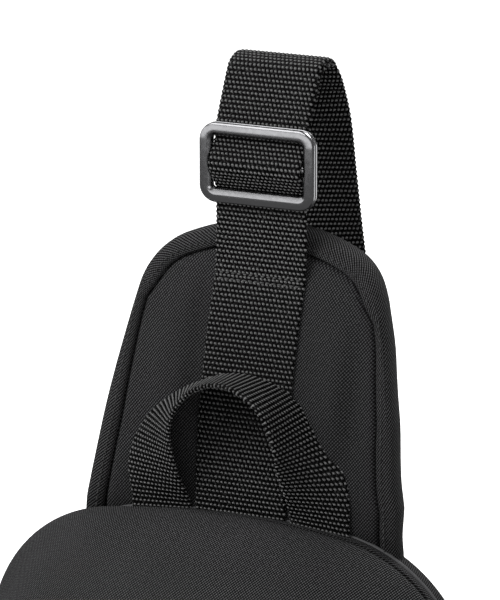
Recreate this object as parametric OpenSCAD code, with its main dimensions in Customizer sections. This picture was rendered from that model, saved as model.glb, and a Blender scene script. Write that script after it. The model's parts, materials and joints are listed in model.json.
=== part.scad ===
// Sling bag: a domed cloth body with a padded yoke, a webbing shoulder strap that
// loops through a tri-glide slider, a grab handle, a main zip and a front pocket.
// X is the bag's width, Y its depth (the front faces -Y), Z its height.

/* [Body] */
// Width of the body
body_w = 200; // [190:2:220]
// Height of the body, from the floor to the crown of its top
body_h = 312; // [300:2:330]
// How far the domed front stands out from the back panel's inner face
body_depth = 80; // [76:1:84]
// Thickness of the padded back panel
back_t = 11; // [9:1:14]
// Thickness of the padded cloth of the shell
shell_t = 1.8; // [1.4:0.1:2.4]

/* [Yoke] */
// Half width of the yoke where it leaves the body
yoke_half_w = 66.7; // [60:0.1:70]
// Height of the yoke's top above the floor
yoke_top = 416; // [410:1:420]
// Radius of the yoke's backward bend
yoke_bend_r = 244; // [240:1:250]
// Thickness of the padded yoke
yoke_t = 9; // [7:1:12]
// Width of the bound edge band
band_w = 8; // [6:1:10]

/* [Webbing] */
// Width of the shoulder webbing
strap_w = 38; // [36:1:38]
// Thickness of all webbing
web_t = 1.5; // [1.2:0.1:1.5]
// Width of the grab handle's webbing
handle_w = 25; // [22:1:25]

/* [Slider] */
// Outer width of the tri-glide slider
slider_w = 48; // [46:1:50]
// Outer height of the tri-glide slider
slider_h = 31.3; // [31:0.1:33]
// Width of its bars
slider_bar = 4.3; // [4:0.1:4.5]
// Depth of its frame
slider_t = 4.5; // [4:0.1:4.5]

/* [Zips] */
// How far the main zip lies inside the body's outline
zip_inset = 5; // [5:0.5:6]
// Height at which the main zip's two ends stop
zip_end_z = 58; // [50:1:70]
// Height of the front pocket's top edge
pocket_top = 188; // [170:1:190]
// Half width of the front pocket at its base
pocket_half_w = 62; // [56:1:64]

/* [Hidden] */
$fn = 48;

// The outline's depth centre is moved onto the origin.
depth_shift = 19.1;
half_w = body_w / 2;

// Body outline: a wide arch over two corner arcs, upright sides, two base arcs.
arch_r = 335;
corner_r = 60;
base_r = 40;

// Main zip: each chain half is a band beside the middle plane.
zip_y = -8;
chain_w = 2.6;
chain_t = 1.6;
tape_t = 0.6;
chain_gap = 0.5;
chain_edge = chain_gap + chain_w;
tape_w = 1.3;
zip_face = half_w - zip_inset - chain_t / 2;
rim_y = zip_y - chain_edge - tape_w;
gusset_y = zip_y + chain_edge + tape_w;
main_slider_z = zip_end_z + 8;

// Stations of the domed shell: [y, half width, lowest z, highest z].
dome_stations = [
    [rim_y, half_w - zip_inset, 0, body_h - zip_inset],
    [-18, half_w, 0, body_h],
    [-30, half_w - 7, 0, body_h - 5],
    [-45, half_w - 13, 0, body_h - 17],
    [-60, half_w - 20, 0, body_h - 36],
    [-72, half_w - 27, 8, body_h - 64],
    [-body_depth, half_w - 36, 30, body_h - 107]];

// Zip sliders: two plates, a wedge between them and a crown that holds the pull.
slider_l = 10;
slider_half_y = 3.8;
plate_in = 1.1;
plate_out = 2.1;
crown_top = 4.6;
pull_x = -1.6;
pull_z = 2.95;

// Front pocket
pocket_bottom = 42;
pocket_front = -body_depth - 12.5;
pocket_wall = 1.6;
pocket_zip_y = -body_depth - 5.8;
pocket_zip_z = pocket_top - chain_t / 2;
pocket_zip_half = pocket_half_w - pocket_wall - 0.4;
pocket_slider_x = -48;

// Yoke: a padded panel bent about an axis behind and level with its foot.
yoke_foot = 304;
yoke_taper = 0.19;
yoke_top_r = 93;
yoke_corner_r = 26;
skin_t = 0.8;

// Shoulder webbing, as [y, z] points of its middle line.
web_bend_r = yoke_bend_r + 0.1 + web_t / 2;
web_lift_z = 396;
slider_z = 441;
slider_front = 12.6;
bar_y = 15.4;
bar_r = 1.2;
below_slider = [[16.9, 396.2], [17.7, 401], [18.2, 408], [18.3, 416], [18.3, 425.8]];
in_slider = [[18.3, 426], [18.25, 430.4], [14.7, 435.4], [12.3, 438.6], [11.6, 441],
    [12.3, 443.4], [14.7, 446.6], [18.0, 451.6], [18.4, 456]];
above_slider = [[18.7, 456.8], [23.5, 466.8], [28.2, 476.6]];
loop_top = [[28.3, 476.8], [31, 479.9], [37, 481.6], [43.2, 480], [47.2, 475.6],
    [50.2, 467], [52.5, 452], [53.4, 438.5]];
inner_end = [[20.6, 456.2], [25.4, 465.8], [30.1, 475.1]];

// Shoulder strap behind the bag, as [x, y, z] points of its middle line.
strap_route = [[0, 30.2, 475.3], [0, 33, 478.2], [0, 37, 479.3], [0.3, 41.4, 478],
    [0.8, 44.9, 474.2], [1.6, 47.9, 466], [3.2, 50.2, 452], [5.6, 51.4, 430], [9.5, 52.3, 400],
    [16.5, 53.2, 350], [23.5, 53.5, 300], [33, 52, 240], [44, 46, 180], [57, 36, 125],
    [70, 24.5, 82], [78.5, 17, 58]];

// Grab handle: the two edges of its left half, base to crown, as [x, y, z] points.
handle_foot = 308.4;
handle_outer = [[-46.2, -1, handle_foot], [-47.2, -0.7, 323], [-42, 0.9, 338], [-31.5, 2.4, 349],
    [-16, 3.4, 358], [0, 3.9, 361.5]];
handle_inner = [[-21.2, -1, handle_foot], [-24.2, -7.5, 323], [-24.5, -13.5, 338],
    [-19.5, -18.5, 350], [-10.5, -21.2, 360], [0, -22, 363.5]];

// ---- Shared functions -------------------------------------------------------------

function unit(v) = v / norm(v);
function mirrored(pts) = concat(pts, [for (i = [len(pts) - 2:-1:0])
    [-pts[i][0], pts[i][1], pts[i][2]]]);
function clamped(pts, i) = pts[min(max(i, 0), len(pts) - 1)];
function spline_point(pts, i, t) = let (a = clamped(pts, i - 1), b = clamped(pts, i),
    c = clamped(pts, i + 1), d = clamped(pts, i + 2))
    0.5 * (2 * b + (c - a) * t + (2 * a - 5 * b + 4 * c - d) * t * t
        + (3 * b - a - 3 * c + d) * t * t * t);
function spline(pts, steps) = concat([for (i = [0:len(pts) - 2], k = [0:steps - 1])
    spline_point(pts, i, k / steps)], [pts[len(pts) - 1]]);
function tangent(pts, i) = unit(clamped(pts, i + 1) - clamped(pts, i - 1));
// Outline of a band of thickness t along a [y, z] line
function band_outline(pts, t) = let (n = [for (i = [0:len(pts) - 1])
    let (d = tangent(pts, i)) [d[1], -d[0]] * t / 2])
    concat([for (i = [0:len(pts) - 1]) pts[i] + n[i]],
        [for (i = [len(pts) - 1:-1:0]) pts[i] - n[i]]);
// [y, z] points of the webbing where it lies on the bent yoke
function on_yoke(z) = [yoke_bend_r - sqrt(pow(web_bend_r, 2) - pow(z - yoke_foot, 2)), z];

// ---- Shared shapes ----------------------------------------------------------------

module placed() { translate([0, depth_shift, 0]) children(); }

// An [x, z] outline made solid between two depths
module slab(y_front, y_back) {
    translate([0, y_back, 0]) rotate([90, 0, 0]) linear_extrude(y_back - y_front) children();
}

// Arch-topped outline with its foot at z0 and its crown at z1
module arch_outline(hw, z0, z1) {
    r = min(corner_r, hw - 2);
    drop = arch_r - sqrt(pow(arch_r - r, 2) - pow(hw - r, 2));
    reach = (hw - r) * arch_r / (arch_r - r);
    hull() {
        for (s = [-1, 1]) {
            translate([s * (hw - r), z1 - drop]) circle(r);
            translate([s * (hw - base_r), z0 + base_r]) circle(base_r);
        }
        intersection() {
            translate([0, z1 - arch_r]) circle(arch_r, $fn = 180);
            translate([-reach, z1 - drop]) square([2 * reach, drop + 1]);
        }
    }
}

// The outline that the zip and the back panel share
module inner_outline() { arch_outline(half_w - zip_inset, 0, body_h - zip_inset); }

// A band of thickness t just inside the shared outline, sunk by a further amount
module rim_band(t, sunk = 0) {
    difference() {
        offset(delta = -sunk) inner_outline();
        offset(delta = -sunk - t) inner_outline();
    }
}

module above(z) {
    intersection() {
        children();
        translate([-body_w, -body_w, z]) cube([2 * body_w, 2 * body_w, 2 * body_h]);
    }
}

module below(z) {
    intersection() {
        children();
        translate([-body_w, -body_w, -1]) cube([2 * body_w, 2 * body_w, z + 1]);
    }
}

// The domed volume, sunk by t and cut flat at its rim
module dome(t) {
    hull() for (s = dome_stations)
        slab(max(s[0], t - body_depth) - 0.05, max(s[0], t - body_depth))
            arch_outline(s[1] - t, s[2] + t, s[3] - t);
}

// The yoke's volume between two bend radii, over any [x, z] outline
module bent(r_in, r_out) {
    intersection() {
        slab(-5, 60) children();
        translate([-body_w, yoke_bend_r, yoke_foot]) rotate([0, 90, 0])
            difference() {
                cylinder(r = r_out, h = 2 * body_w, $fn = 360);
                translate([0, 0, -1]) cylinder(r = r_in, h = 2 * body_w + 2, $fn = 360);
            }
    }
}

// Tapered yoke outline with a rounded top, cut along the top of the body
module yoke_outline(inset = 0) {
    low = 290;
    difference() {
        offset(r = yoke_corner_r) offset(delta = -yoke_corner_r - inset) intersection() {
            polygon([for (p = [[-1, low], [-1, yoke_top + 20], [1, yoke_top + 20], [1, low]])
                [p[0] * (yoke_half_w - yoke_taper * (p[1] - yoke_foot + 1)), p[1]]]);
            translate([0, yoke_top - yoke_top_r]) circle(yoke_top_r, $fn = 180);
        }
        offset(delta = 0.1) inner_outline();
    }
}

// Webbing that keeps its width along X, along a [y, z] line
module flat_web(pts) {
    translate([-strap_w / 2, 0, 0]) rotate([90, 0, 90]) linear_extrude(strap_w)
        polygon(band_outline(pts, web_t));
}

// Webbing between two 3-D edge lines, of thickness t
module ribbon(edge_a, edge_b, t) {
    n = len(edge_a);
    mid = (edge_a + edge_b) / 2;
    up = [for (i = [0:n - 1]) unit(cross(edge_b[i] - edge_a[i], tangent(mid, i))) * t / 2];
    pts = [for (i = [0:n - 1]) each [edge_a[i] - up[i], edge_b[i] - up[i],
        edge_b[i] + up[i], edge_a[i] + up[i]]];
    polyhedron(pts, concat([[0, 1, 2, 3]], [[4 * n - 1, 4 * n - 2, 4 * n - 3, 4 * n - 4]],
        [for (i = [0:n - 2], k = [0:3]) each let (a = 4 * i + k, b = 4 * i + (k + 1) % 4)
            [[a, a + 4, b], [b, a + 4, b + 4]]]));
}

// ---- Back panel and gusset --------------------------------------------------------

module back_panel() {
    color("#2a2b2d") difference() {
        slab(0, back_t) inner_outline();
        slab(-1, back_t - 1.5) offset(delta = -shell_t) inner_outline();
    }
}

module back_foam() {
    color("#6f6f6f") slab(0.1, back_t - 1.6) offset(delta = -shell_t - 0.2) inner_outline();
}

module back_lining() {
    color("#55585c") slab(-skin_t, 0) offset(delta = -shell_t - 0.1) inner_outline();
}

module rear_gusset() {
    color("#2a2b2d") union() {
        slab(gusset_y, 0) rim_band(shell_t);
        below(zip_end_z) slab(zip_y + chain_gap, gusset_y) rim_band(shell_t);
    }
}

// One half of the main zip: toothed chain and the edge of its tape
module main_zip_half(side) {
    chain = [zip_y + side * chain_gap, zip_y + side * chain_edge];
    tape = [chain[1], chain[1] + side * tape_w];
    above(zip_end_z) {
        slab(min(chain), max(chain)) rim_band(chain_t);
        slab(min(tape), max(tape)) rim_band(tape_t, (chain_t - tape_t) / 2);
    }
}

module main_zip_rear() { color("#1d1d1f") main_zip_half(1); }

// Metal end stops clamped over the gusset's face below the chain's two ends
module zip_stops() {
    color("#4a4b4e") for (s = [0, 1]) mirror([s, 0, 0])
        translate([half_w - zip_inset + 0.05, zip_y + chain_gap, zip_end_z - 3])
            cube([1.2, 3, 2.6]);
}

// ---- Yoke -------------------------------------------------------------------------

module yoke_front() { color("#2b2c2e") bent(yoke_bend_r - skin_t, yoke_bend_r) yoke_outline(2.1); }

module yoke_foam() {
    color("#6f6f6f") bent(yoke_bend_r - yoke_t + skin_t + 0.1, yoke_bend_r - skin_t - 0.1)
        yoke_outline(2.1);
}

module yoke_back() {
    color("#26272a") bent(yoke_bend_r - yoke_t, yoke_bend_r - yoke_t + skin_t) yoke_outline(2.1);
}

module yoke_binding() {
    lip = 0.5;
    color("#232325") union() {
        bent(yoke_bend_r - yoke_t - lip - 0.1, yoke_bend_r + lip + 0.1) difference() {
            yoke_outline();
            yoke_outline(2);
        }
        for (r = [yoke_bend_r + 0.1, yoke_bend_r - yoke_t - lip - 0.1])
            bent(r, r + lip) difference() {
                yoke_outline();
                yoke_outline(band_w);
            }
    }
}

// ---- Shoulder webbing -------------------------------------------------------------

module yoke_webbing() {
    foot = body_h - zip_inset + 0.3;
    color("#1b1b1d") flat_web([for (k = [0:12]) on_yoke(foot + (web_lift_z - foot) * k / 12)]);
}

module webbing_below_slider() { color("#1b1b1d") flat_web(below_slider); }

module webbing_above_slider() { color("#1b1b1d") flat_web(above_slider); }

module webbing_loop_top() { color("#1b1b1d") flat_web(spline(loop_top, 3)); }

module strap_inner_end() { color("#171718") flat_web(inner_end); }

module strap_webbing() {
    line = spline(strap_route, 3);
    half = [for (i = [0:len(line) - 1]) let (d = tangent(line, i))
        unit([1, 0, 0] - d[0] * d) * strap_w / 2];
    color("#1b1b1d") ribbon(line - half, line + half, web_t);
}

// Cloth tab from the strap's lower end to the seam at the lower right corner
module wing_tab() {
    color("#2a2b2d") hull() {
        for (p = [[60.9, 15, 51], [96.6, 18.6, 62.4]]) translate(p) cube([0.6, web_t, 0.4]);
        for (p = [[58, back_t + 0.1, 4], [92, back_t + 0.1, 34]])
            translate(p) cube([0.6, web_t, 0.6]);
    }
}

// ---- Tri-glide slider -------------------------------------------------------------

module slider_frame() {
    side = slider_bar;
    color("#5b5d60") translate([0, 0, slider_z]) union() {
        slab(slider_front, slider_front + slider_t) difference() {
            offset(r = 4.5) square([slider_w - 9, slider_h - 9], center = true);
            offset(r = 1.5) square([slider_w - 2 * side - 3, slider_h - 2 * side - 3],
                center = true);
        }
        translate([-slider_w / 2 + 1, bar_y, 0]) rotate([0, 90, 0])
            cylinder(r = bar_r, h = slider_w - 2);
    }
}

module webbing_in_slider() { color("#1b1b1d") flat_web(in_slider); }

// The strap's end folded round the middle bar and sewn to itself
module strap_end_loop() {
    r = bar_r + 0.2;
    color("#171718") union() {
        translate([-strap_w / 2, bar_y, slider_z]) rotate([0, 90, 0]) difference() {
            cylinder(r = r + 1.3, h = strap_w);
            translate([0, 0, -1]) cylinder(r = r, h = strap_w + 2);
            translate([-r - 9, -r - 9, -1]) cube([r + 9, 2 * r + 18, strap_w + 2]);
        }
        for (leg = [[bar_y - r - 0.7, 19.75], [bar_y + r + 0.7, 21.5]])
            flat_leg(leg[0], leg[1]);
        translate([-strap_w / 2, 19.2, 451.8]) cube([strap_w, 2.9, 3.8]);
    }
}

// One leg of the folded end, rising and leaning back from the bar
module flat_leg(y_low, y_high) {
    translate([-strap_w / 2, 0, 0]) rotate([90, 0, 90]) linear_extrude(strap_w)
        polygon([[y_low - 0.7, slider_z], [y_low + 0.7, slider_z],
            [y_high + 0.6, 452], [y_high - 0.55, 452]]);
}

// ---- Grab handle ------------------------------------------------------------------

module grab_handle() {
    a = spline(mirrored(handle_outer), 3);
    b = spline(mirrored(handle_inner), 3);
    mid = (a + b) / 2;
    half = [for (i = [0:len(a) - 1]) unit(b[i] - a[i]) * handle_w / 2];
    color("#1b1b1d") ribbon(mid - half, mid + half, web_t);
}

// ---- Front shell ------------------------------------------------------------------

module front_shell() {
    color("#2e2f31") union() {
        difference() {
            dome(0);
            dome(shell_t);
            slab(rim_y - 0.5, 0) offset(delta = -shell_t) inner_outline();
        }
        below(zip_end_z) slab(rim_y, zip_y - chain_gap) rim_band(shell_t);
    }
}

module front_lining() {
    color("#55585c") difference() {
        dome(shell_t + 0.1);
        dome(shell_t + skin_t);
        slab(rim_y - 1, 0) offset(delta = -shell_t) inner_outline();
    }
}

module base_board() {
    board_half = half_w - base_r - 20;
    board_front = -56;
    color("#303134") translate([-board_half, board_front, shell_t + skin_t + 0.4])
        cube([2 * board_half, rim_y - 2 - board_front, 1.5]);
}

module main_zip_front() { color("#1d1d1f") main_zip_half(-1); }

// ---- Front pocket -----------------------------------------------------------------

// Pocket outline: square top, rounded lower corners
module pocket_outline(hw, z0, z1) {
    r = 14;
    hull() {
        for (s = [-1, 1]) translate([s * (hw - r), z0 + r]) circle(r);
        translate([-hw, z1 - r]) square([2 * hw, r]);
    }
}

module pocket_panel() {
    back = -body_depth - 0.2;
    color("#2b2c2e") difference() {
        slab(pocket_front, back) pocket_outline(pocket_half_w, pocket_bottom, pocket_top);
        slab(pocket_front + pocket_wall, back + 1)
            pocket_outline(pocket_half_w - pocket_wall, pocket_bottom + pocket_wall,
                pocket_top + 1);
    }
}

// One half of the pocket's zip; side is 1 on the shell and -1 on the pocket
module pocket_zip_half(side, tape_end) {
    near = pocket_zip_y + side * chain_gap;
    far = pocket_zip_y + side * chain_edge;
    for (part = [[near, far, chain_t], [far, tape_end, tape_t]])
        translate([-pocket_zip_half, min(part[0], part[1]), pocket_zip_z - part[2] / 2])
            cube([2 * pocket_zip_half, abs(part[1] - part[0]), part[2]]);
}

module pocket_zip_upper() { color("#1d1d1f") pocket_zip_half(1, -body_depth - 0.2); }

module pocket_zip_lower() { color("#1d1d1f") pocket_zip_half(-1, pocket_front + pocket_wall); }

// ---- Zip sliders, drawn lying flat and running along X -----------------------------

module zip_slider() {
    color("#3a3b3e") {
        difference() {
            union() {
                for (z = [-plate_out, plate_in]) translate([-slider_l / 2, -slider_half_y, z])
                    cube([slider_l, 2 * slider_half_y, plate_out - plate_in]);
                for (s = [-1, 1], z = [-plate_out, 0.9])
                    translate([-slider_l / 2, s * 3.55 - 0.25, z])
                        cube([slider_l, 0.5, plate_out - 0.9]);
                translate([-slider_l / 2, -0.4, -plate_in - 0.1])
                    cube([2.2, 0.8, 2 * plate_in + 0.2]);
            }
            for (s = [-1, 1]) translate([-slider_l / 2, s * slider_half_y, 0])
                rotate([0, 0, 45]) cube([1.6, 1.6, 9], center = true);
        }
        difference() {
            translate([-3.5, -0.9, plate_out - 0.1]) cube([7, 1.8, crown_top - plate_out + 0.1]);
            translate([-2.5, -2, plate_out]) cube([5, 4, 1.7]);
        }
    }
}

// turned is 0 where the pull lies towards the slider's closed end, else 180
module zip_pull(turned) {
    color("#4a4b4e") translate([pull_x, 0, pull_z]) rotate([0, 0, turned]) {
        rotate([90, 0, 0]) cylinder(r = 0.6, h = 4.6, center = true);
        for (s = [-1, 1]) translate([-8, s * 1.8 - 0.5, -0.6]) cube([8, 1, 1.2]);
        for (s = [-1, 1]) translate([0, s * 1.8, 0]) rotate([90, 0, 0])
            cylinder(r = 0.6, h = 1, center = true);
        difference() {
            translate([-26, -3, -0.6]) cube([18.5, 6, 1.2]);
            translate([-23, 0, -1]) cylinder(r = 1.5, h = 2);
        }
    }
}

// Place of the two zips' sliders
module at_main_zip() {
    translate([zip_face, zip_y, main_slider_z]) rotate([0, 90, 0]) rotate([0, 0, 180]) children();
}

module at_pocket_zip() { translate([pocket_slider_x, pocket_zip_y, pocket_zip_z]) children(); }

module main_zip_slider() { at_main_zip() zip_slider(); }

module main_zip_pull() { at_main_zip() zip_pull(0); }

module pocket_zip_slider() { at_pocket_zip() zip_slider(); }

module pocket_zip_pull() { at_pocket_zip() zip_pull(180); }

placed() back_panel();
placed() back_foam();
placed() back_lining();
placed() rear_gusset();
placed() main_zip_rear();
placed() zip_stops();
placed() yoke_front();
placed() yoke_foam();
placed() yoke_back();
placed() yoke_binding();
placed() yoke_webbing();
placed() webbing_below_slider();
placed() webbing_above_slider();
placed() webbing_loop_top();
placed() strap_inner_end();
placed() strap_webbing();
placed() wing_tab();
placed() slider_frame();
placed() webbing_in_slider();
placed() strap_end_loop();
placed() grab_handle();
placed() front_shell();
placed() front_lining();
placed() base_board();
placed() main_zip_front();
placed() pocket_panel();
placed() pocket_zip_upper();
placed() pocket_zip_lower();
placed() main_zip_slider();
placed() main_zip_pull();
placed() pocket_zip_slider();
placed() pocket_zip_pull();
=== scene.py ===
"""Looks for the sling bag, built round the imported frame. Shapes are drawn in the bag's own
millimetres (X width, Y depth from the yoke's foot, Z height); put() turns them into row metres."""

import json
import math

import bmesh
import bpy
import numpy as np
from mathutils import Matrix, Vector, noise

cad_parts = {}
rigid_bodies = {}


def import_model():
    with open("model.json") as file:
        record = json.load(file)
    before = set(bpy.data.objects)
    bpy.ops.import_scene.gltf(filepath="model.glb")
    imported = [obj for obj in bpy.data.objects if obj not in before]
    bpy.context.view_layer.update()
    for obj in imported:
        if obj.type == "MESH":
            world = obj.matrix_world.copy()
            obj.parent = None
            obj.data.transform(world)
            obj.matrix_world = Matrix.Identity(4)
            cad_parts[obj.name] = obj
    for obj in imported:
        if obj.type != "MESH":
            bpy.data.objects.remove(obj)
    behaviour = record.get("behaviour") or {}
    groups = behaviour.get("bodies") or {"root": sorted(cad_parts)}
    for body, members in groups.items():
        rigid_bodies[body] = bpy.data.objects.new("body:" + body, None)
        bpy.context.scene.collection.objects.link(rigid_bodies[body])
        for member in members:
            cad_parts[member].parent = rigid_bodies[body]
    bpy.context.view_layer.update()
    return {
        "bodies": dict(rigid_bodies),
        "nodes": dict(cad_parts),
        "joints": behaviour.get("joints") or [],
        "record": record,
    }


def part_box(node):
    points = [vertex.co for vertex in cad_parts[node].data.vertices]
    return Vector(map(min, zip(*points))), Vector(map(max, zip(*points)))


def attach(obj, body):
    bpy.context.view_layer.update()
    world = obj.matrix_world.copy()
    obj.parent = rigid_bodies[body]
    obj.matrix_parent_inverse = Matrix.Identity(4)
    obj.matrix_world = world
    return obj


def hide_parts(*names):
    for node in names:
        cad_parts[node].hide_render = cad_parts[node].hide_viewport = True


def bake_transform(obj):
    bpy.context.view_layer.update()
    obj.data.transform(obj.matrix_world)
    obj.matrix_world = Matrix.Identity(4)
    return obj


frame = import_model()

MM = 0.001
TAU = 2 * math.pi

# ---- Sizes from the frame, in millimetres ------------------------------------------

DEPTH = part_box("back_lining")[1].y / MM


def low(node):
    return np.array(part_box(node)[0]) / MM - (0, DEPTH, 0)


def high(node):
    return np.array(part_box(node)[1]) / MM - (0, DEPTH, 0)


HALF_W, _, CROWN = high("front_shell")
INNER_HALF, BACK_T, INNER_TOP = high("back_panel")
RIM_Y = low("main_zip_front")[1]
GUSSET_Y = high("main_zip_rear")[1]
ZIP_Y = (RIM_Y + GUSSET_Y) / 2
ZIP_END_Z = low("main_zip_front")[2]
FACE_Y = low("front_shell")[1]
STRAP_W = 2 * high("yoke_webbing")[0]
YOKE_TOP = high("yoke_binding")[2]
YOKE_T = 9.0
SLIDER_LOW, SLIDER_HIGH = low("slider_frame"), high("slider_frame")
SLIDER_Z = (SLIDER_LOW[2] + SLIDER_HIGH[2]) / 2
POCKET_LOW, POCKET_HIGH = low("pocket_panel"), high("pocket_panel")
WEB_T = 1.5
YOKE_R = 244.0
YOKE_FOOT = 304.0
HANDLE_W = 25.0

# ---- Camera ------------------------------------------------------------------------

VIEW_AZIMUTH, VIEW_ELEVATION = math.radians(25), math.radians(15)
VIEW_TARGET = np.array((3.8, 0, 392.5))
VIEW_DISTANCE = 1600.0
VIEW_HEIGHT = 228.0


def put(points):
    """The bag's millimetres as row metres."""
    return (np.asarray(points, float) + (0, DEPTH, 0)) * MM


def make_camera():
    back = Vector((math.sin(VIEW_AZIMUTH) * math.cos(VIEW_ELEVATION),
                   -math.cos(VIEW_AZIMUTH) * math.cos(VIEW_ELEVATION), math.sin(VIEW_ELEVATION)))
    data = bpy.data.cameras.new("camera")
    data.sensor_width = 36
    data.lens = 36 * VIEW_DISTANCE / VIEW_HEIGHT
    camera = bpy.data.objects.new("camera", data)
    camera.location = Vector(put(VIEW_TARGET)) + back * VIEW_DISTANCE * MM
    camera.rotation_mode = "QUATERNION"
    camera.rotation_quaternion = (-back).to_track_quat("-Z", "Y")
    data.clip_start, data.clip_end = 0.05, 60
    bpy.context.scene.collection.objects.link(camera)
    bpy.context.scene.camera = camera


def area_light(name, place, aim, size, power, mirrored=True):
    data = bpy.data.lights.new(name, "AREA")
    data.shape = "RECTANGLE"
    data.size, data.size_y = size
    data.energy = power
    light = bpy.data.objects.new(name, data)
    light.location = place
    light.rotation_euler = (Vector(aim) - Vector(place)).to_track_quat("-Z", "Y").to_euler()
    light.visible_glossy = mirrored
    bpy.context.scene.collection.objects.link(light)


make_camera()

# ---- Materials ---------------------------------------------------------------------

WEAVE_UV = "Weave"
ROW_BIAS = 0.85
ROW_EDGE = 4
WEBBING_PITCH = (1.7, 1.9)
WEBBING_LEAN = 0.6
CLOTH_PITCH = (1.25, 0.72)


def node(tree, kind, inputs=(), **settings):
    """A shader node with its settings, and its inputs given by place or name."""
    made = tree.nodes.new(kind)
    for key, value in settings.items():
        setattr(made, key, value)
    for key, value in dict(inputs).items():
        if isinstance(value, bpy.types.NodeSocket):
            tree.links.new(value, made.inputs[key])
        else:
            made.inputs[key].default_value = value
    return made


def maths(tree, operation, *values):
    return node(tree, "ShaderNodeMath", dict(enumerate(values)), operation=operation).outputs[0]


def spread(tree, value, from_low, from_high, to_low=0.0, to_high=1.0):
    """A smooth step from one range to another."""
    return node(tree, "ShaderNodeMapRange", {0: value, 1: from_low, 2: from_high, 3: to_low, 4: to_high},
                interpolation_type="SMOOTHSTEP").outputs[0]


def mixed(tree, share, dark, light):
    return node(tree, "ShaderNodeMix", {"Factor": share, "A": (*dark, 1), "B": (*light, 1)},
                data_type="RGBA").outputs[2]


def surface(name, roughness=0.8, metallic=0.0, **sockets):
    """A new material with one Principled shader; sockets set that shader's own values."""
    made = bpy.data.materials.new(name)
    made.use_nodes = True
    tree = made.node_tree
    shader = tree.nodes["Principled BSDF"]
    shader.inputs["Roughness"].default_value = roughness
    shader.inputs["Metallic"].default_value = metallic
    for key, value in sockets.items():
        shader.inputs[key.replace("_", " ")].default_value = value
    return made, tree, shader


def place_noise(tree, scale, detail=2.0, stretch=(1, 1, 1)):
    """Noise fixed to the object, in the row frame."""
    where = node(tree, "ShaderNodeTexCoord").outputs["Object"]
    scaled = node(tree, "ShaderNodeVectorMath", {0: where, 1: stretch}, operation="MULTIPLY").outputs[0]
    return node(tree, "ShaderNodeTexNoise", {"Vector": scaled, "Scale": scale, "Detail": detail}).outputs[0]


def grey(level, blue=None):
    return level, level, level if blue is None else blue


def speckled(name, roughness, grain, dark, light, detail=2.0, **sockets):
    """A plain material with a fine grain between two tones."""
    made, tree, shader = surface(name, roughness, **sockets)
    tree.links.new(mixed(tree, place_noise(tree, grain, detail), dark, light), shader.inputs["Base Color"])
    return made, tree, shader


def woven(name, pitch, lean, dark, light, bump, roughness=0.75, floats=(-0.2, 0.9), rows=False, gloss=0.12):
    """Woven cloth: yarn floats in rows, each row half a pitch along; rows=True keeps the rows apart. The base
    colour follows the yarn level between its two tones: the weave's own pattern, with painted shade in the
    gaps between yarns and rows and a painted sheen where the floats rise.
    """
    made, tree, shader = surface(name, roughness)
    shader.inputs["Specular IOR Level"].default_value = gloss
    place = node(tree, "ShaderNodeUVMap", uv_map=WEAVE_UV).outputs[0]
    split = node(tree, "ShaderNodeSeparateXYZ", {0: place})
    across = maths(tree, "MULTIPLY", split.outputs[0], TAU / pitch[0])
    along = maths(tree, "MULTIPLY", split.outputs[1], math.pi / pitch[1])
    row = maths(tree, "COSINE", along)
    level = maths(tree, "MULTIPLY", maths(tree, "COSINE", across), row)
    skew = maths(tree, "MULTIPLY", maths(tree, "SINE", across), maths(tree, "SINE", along))
    level = maths(tree, "MULTIPLY_ADD", skew, lean, level)
    if rows:
        level = maths(tree, "MULTIPLY_ADD", maths(tree, "ABSOLUTE", row), ROW_BIAS, level)
        level = maths(tree, "MULTIPLY", level, maths(tree, "POWER", maths(tree, "ABSOLUTE", row), ROW_EDGE))
    yarn = node(tree, "ShaderNodeTexNoise", {"Vector": place, "Scale": 1.1, "Detail": 1.0}).outputs[0]
    uneven = maths(tree, "MULTIPLY_ADD", maths(tree, "SUBTRACT", yarn, 0.5), 0.9, level)
    patches = place_noise(tree, 14.0)
    # painted shade and sheen: the yarn level moves the colour between the dark and light tones, darker where
    # yarns dip and lighter where they rise, times the random patches
    weave_with_painted_shade = maths(tree, "MULTIPLY", spread(tree, uneven, *floats), spread(tree, patches, 0.2, 0.8, 0.8, 1.15))
    tree.links.new(mixed(tree, weave_with_painted_shade, dark, light), shader.inputs["Base Color"])
    tree.links.new(spread(tree, level, -1, 1, roughness + 0.15, roughness - 0.1), shader.inputs["Roughness"])
    relief = node(tree, "ShaderNodeBump", {"Strength": 0.8, "Distance": bump * MM, "Height": uneven})
    tree.links.new(relief.outputs[0], shader.inputs["Normal"])
    return made


def metal(name, tone, roughness, grain=900.0):
    """Satin metal with a fine cast grain and slightly worn tone."""
    made, tree, shader = surface(name, roughness, 1.0)
    speckle = place_noise(tree, grain, 3.0)
    wear = place_noise(tree, 60.0, 3.0)
    tone_share = maths(tree, "MULTIPLY", spread(tree, speckle, 0.25, 0.75, 0.85, 1.0),
                       spread(tree, wear, 0.3, 0.7, 0.9, 1.0))
    tree.links.new(mixed(tree, tone_share, [t * 0.35 for t in tone], tone), shader.inputs["Base Color"])
    tree.links.new(spread(tree, speckle, 0.2, 0.8, roughness + 0.06, roughness - 0.06),
                   shader.inputs["Roughness"])
    relief = node(tree, "ShaderNodeBump", {"Strength": 0.12, "Distance": 0.03 * MM, "Height": speckle})
    tree.links.new(relief.outputs[0], shader.inputs["Normal"])
    return made


# The dark tones of the woven materials are partly painted shade between yarns and rows, and their light tones
# partly a painted sheen on the floats.
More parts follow.
